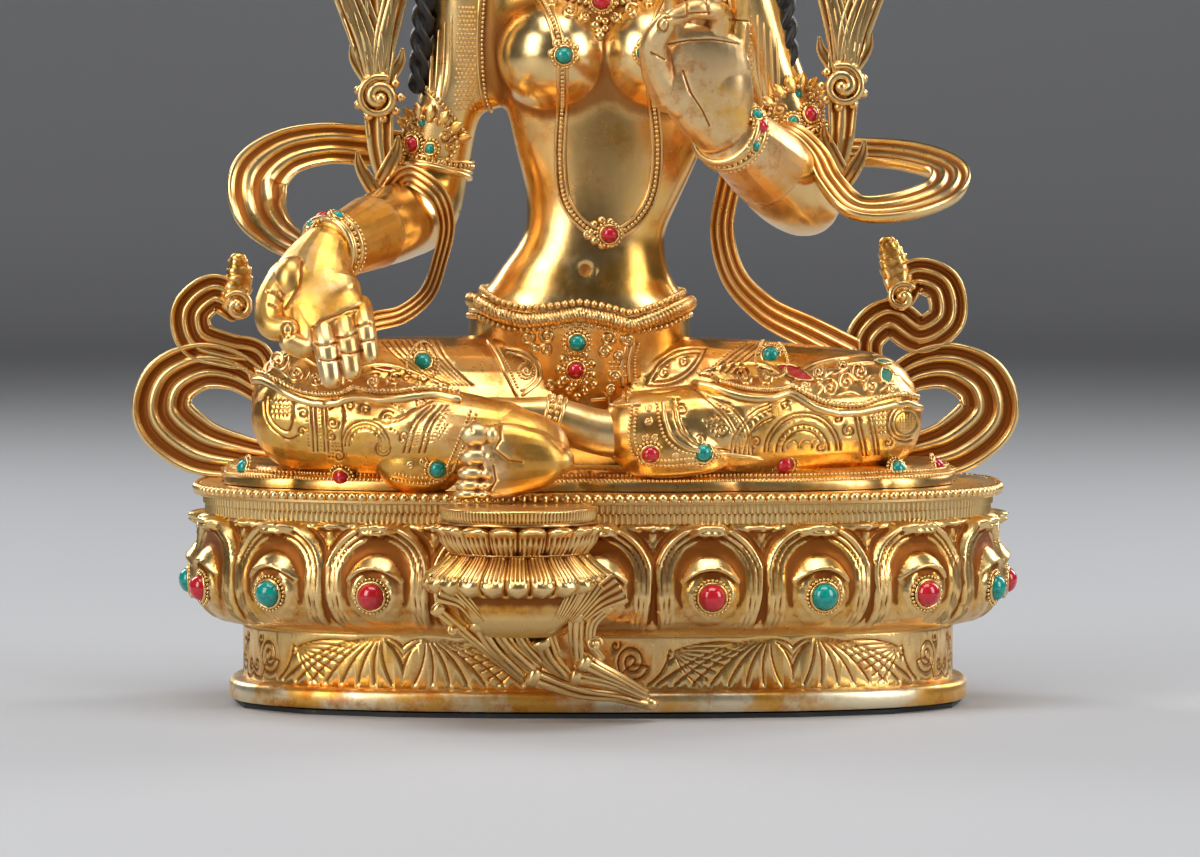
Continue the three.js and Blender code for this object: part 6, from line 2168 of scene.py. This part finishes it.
hair_parts.append(limb([
    [FACE, 20.5, 208, 14, 5.5], [FACE, 19.5, 182, 13, 6], [FACE, 19, 158, 15, 5.4],
    [FACE, 19.4, 132, 12, 4.4], [FACE, 18.6, 112, 6, 3.4]
], BACK, 120, 90, outline=strands))
for side in (-1, 1):
    lock = [
        [FACE + side * 14, 14, 176, 4], [FACE + side * 22, 12, 160, 4], [FACE + side * 35, 6, 152, 3.9],
        [FACE + side * 44.6, 4.5, 140, 3.6], [FACE + side * 47.4, 4.6, 122, 3.3],
        [FACE + side * 49, 4.8, 104, 2.7]
    ]
    hair_parts.append(limb(lock, BACK, 36, 300, outline=twisted(3, side * 5, 0.5)))
hair = joined("hair", hair_parts)
finished(hair, material=BLACK_HAIR, slot="base_dark", thin=0.4)

# %% [markdown]
# ## The crown
# Five leaves stand on a beaded circlet, the front one highest. Each leaf is a bent sheet with a raised rim
# and scrolls on both sides of its stone.

# %% Crown
CROWN_LEAVES = [(0, 27, 15), (-46, 22, 13), (46, 22, 13), (-90, 17, 11), (90, 17, 11)]
CROWN_Y = 2.8


def crown_leaf(degrees, high, wide):
    turn = math.radians(degrees)
    middle = np.array([FACE + 18.8 * math.sin(turn), CROWN_Y - 21 * math.cos(turn), 213])

    def place(u, v):
        across = (u - 0.5) * 2
        half = wide * 0.56 * (1 - v**1.7) ** 0.75 * (0.82 + 0.3 * np.sin(v * math.pi)) + 0.05
        half = half * (0.93 + 0.1 * np.abs(np.cos(v * 3.5 * math.pi)))
        side = np.abs(across)
        rim = 0.5 * hump(side, 0.9, 0.1) + 0.35 * hump(side, 0.66, 0.07) * (v < 0.75)
        leaves = 0.55 * np.abs(np.cos(v * 3.5 * math.pi)) * np.clip(side, 0, 0.9) * (side > 0.3)
        rib = 0.5 * hump(side, 0, 0.13) * step(v, 0.5, 0.62) + 0.4 * hump(v, 0.08, 0.03)
        out = 0.7 + rim + leaves + rib + 0.35 * (1 - across**2) + 1.7 * (1 - step(v, 0.15, 0.36))
        lean = 1.6 * v**2
        c, s = math.cos(turn), math.sin(turn)
        x, y = across * half, -(out + lean)
        return on_figure(rows_of(middle[0] + x * c - y * s, middle[1] + x * s + y * c, middle[2] + high * v))

    leaf = bent_sheet("crown_leaf", 34, 56, place)
    apply(leaf, "SOLIDIFY", thickness=1.0 * MM, offset=-1)
    return leaf


crown = [crown_leaf(*leaf) for leaf in CROWN_LEAVES]
circlet_turns = np.linspace(0, ROUND, 121)


def circlet(z, grow):
    x = FACE + (20.2 + grow) * np.sin(circlet_turns)
    y = CROWN_Y - (22.4 + grow) * np.cos(circlet_turns)
    return on_figure(rows_of(x, y, z))


crown += [
    bead_row(circlet(209.4, 0)[:-1], 0.9, closed=True), bead_row(circlet(214, 0.2)[:-1], 0.8, closed=True)
]
crown += [along_path(circlet(211.7, -0.3), 1.5, 12, twisted(2, 40, 0.3), up=UP, rows=360)]
for z, r, size in ((231.5, 9.6, 0.8), (233.6, 9.2, 0.7)):
    ring = rows_of(FACE + r * np.sin(circlet_turns), 5.3 - r * np.cos(circlet_turns), z)
    crown.append(bead_row(on_figure(ring)[:-1], size, closed=True))
crown.append(levels([
    [249, FACE, 5.4, 5, 5], [251, FACE, 5.4, 5.6, 5.6], [252.6, FACE, 5.4, 2.6, 2.6],
    [256, FACE, 5.4, 3.4, 3.4], [259, FACE, 5.4, 2.2, 2.2], [261.6, FACE, 5.4, 0.4, 0.4]
], 32, 50))
for side in (-1, 1):
    for along, up in ring_of(10, 3.7):
        crown.append(ball(FACE + side * (17.4 + 0.44 * along), -6 + 0.9 * along, 219.4 + up, 1.3, 1.3, 1.3))
    # the earring
    x, y, z = FACE + side * 18.4, 1.6, 175
    crown += [ball(x, y + along, z + up, 1.6, 1.15, 1.15) for along, up in ring_of(12, 3.9)]
    crown.append(ball(x, y, z, 2.4, 2.8, 2.8))
finished(joined("crown", crown), reach=3, thin=0.6)

# %% [markdown]
# ## Stones
# Each solid stone says where it sits: its flat base gives the place and the way it faces. A smooth dome
# with a bright collet of tiny beads takes its place.

# %% Stones
DOME = [(1, -0.15), (1, 0.12), (0.95, 0.36), (0.8, 0.62), (0.58, 0.81), (0.3, 0.94), (0, 1)]


def stone_base(node):
    """Centre, outward way, radius and height of a solid stone, in millimetres"""
    piece = frame["nodes"][node]
    points = points_of(piece)
    faces = {}
    for face in piece.data.polygons:
        key = tuple(round(c, 2) for c in face.normal)
        faces.setdefault(key, []).append(face)
    flat = max(faces.values(), key=lambda group: sum(face.area for face in group))
    way = -np.array(flat[0].normal)
    corners = points[sorted({i for face in flat for i in face.vertices})]
    ring = corners[np.linalg.norm(corners - corners.mean(0), axis=1) > 0.3]
    centre = ring.mean(0)
    radius = np.linalg.norm(ring - centre, axis=1).max()
    height = ((points - centre) @ way).max()
    return centre, way, radius, height


def stone(node, material, slot):
    centre, way, radius, height = stone_base(node)
    turn = np.array(Vector((0, 0, 1)).rotation_difference(Vector(way)).to_matrix())
    rows = len(DOME) - 1

    def place(u, v):
        r, h = np.array(DOME)[np.rint(v * rows).astype(int)].T
        shape = rows_of(r * radius * np.cos(u * ROUND), r * radius * np.sin(u * ROUND), h * height)
        return centre + shape @ turn.T

    dome = bent_sheet(node + "_dome", 24, rows, place)
    finished(dome, node, material=material, slot=slot)
    circle_turns = np.linspace(0, ROUND, 40, endpoint=False)
    ring = rows_of(np.cos(circle_turns), np.sin(circle_turns), 0)
    bezel = centre + (ring * (radius + 0.35)) @ turn.T
    beads = centre + (ring * (radius + 1.15) - (0, 0, 0.5)) @ turn.T
    around = [along_path(np.vstack([bezel, bezel[:1]]), 0.42, 8, up=tuple(way), rows=80)]
    around.append(bead_row(beads, 0.5, closed=True))
    return around


slot_of = {row["node"]: row["material_slot"] for row in frame["record"]["subparts"]}
collets = []
for node in frame["nodes"]:
    if "_stone_" in node or node.endswith("_stone"):
        slot = slot_of[node]
        collets += stone(node, {"coral": CORAL, "turquoise": TURQUOISE}[slot], slot)
finished(joined("collets", collets), material=GILT_POLISHED, reach=2, thin=0.45)

# %% Write the sizes and finish
print(total)
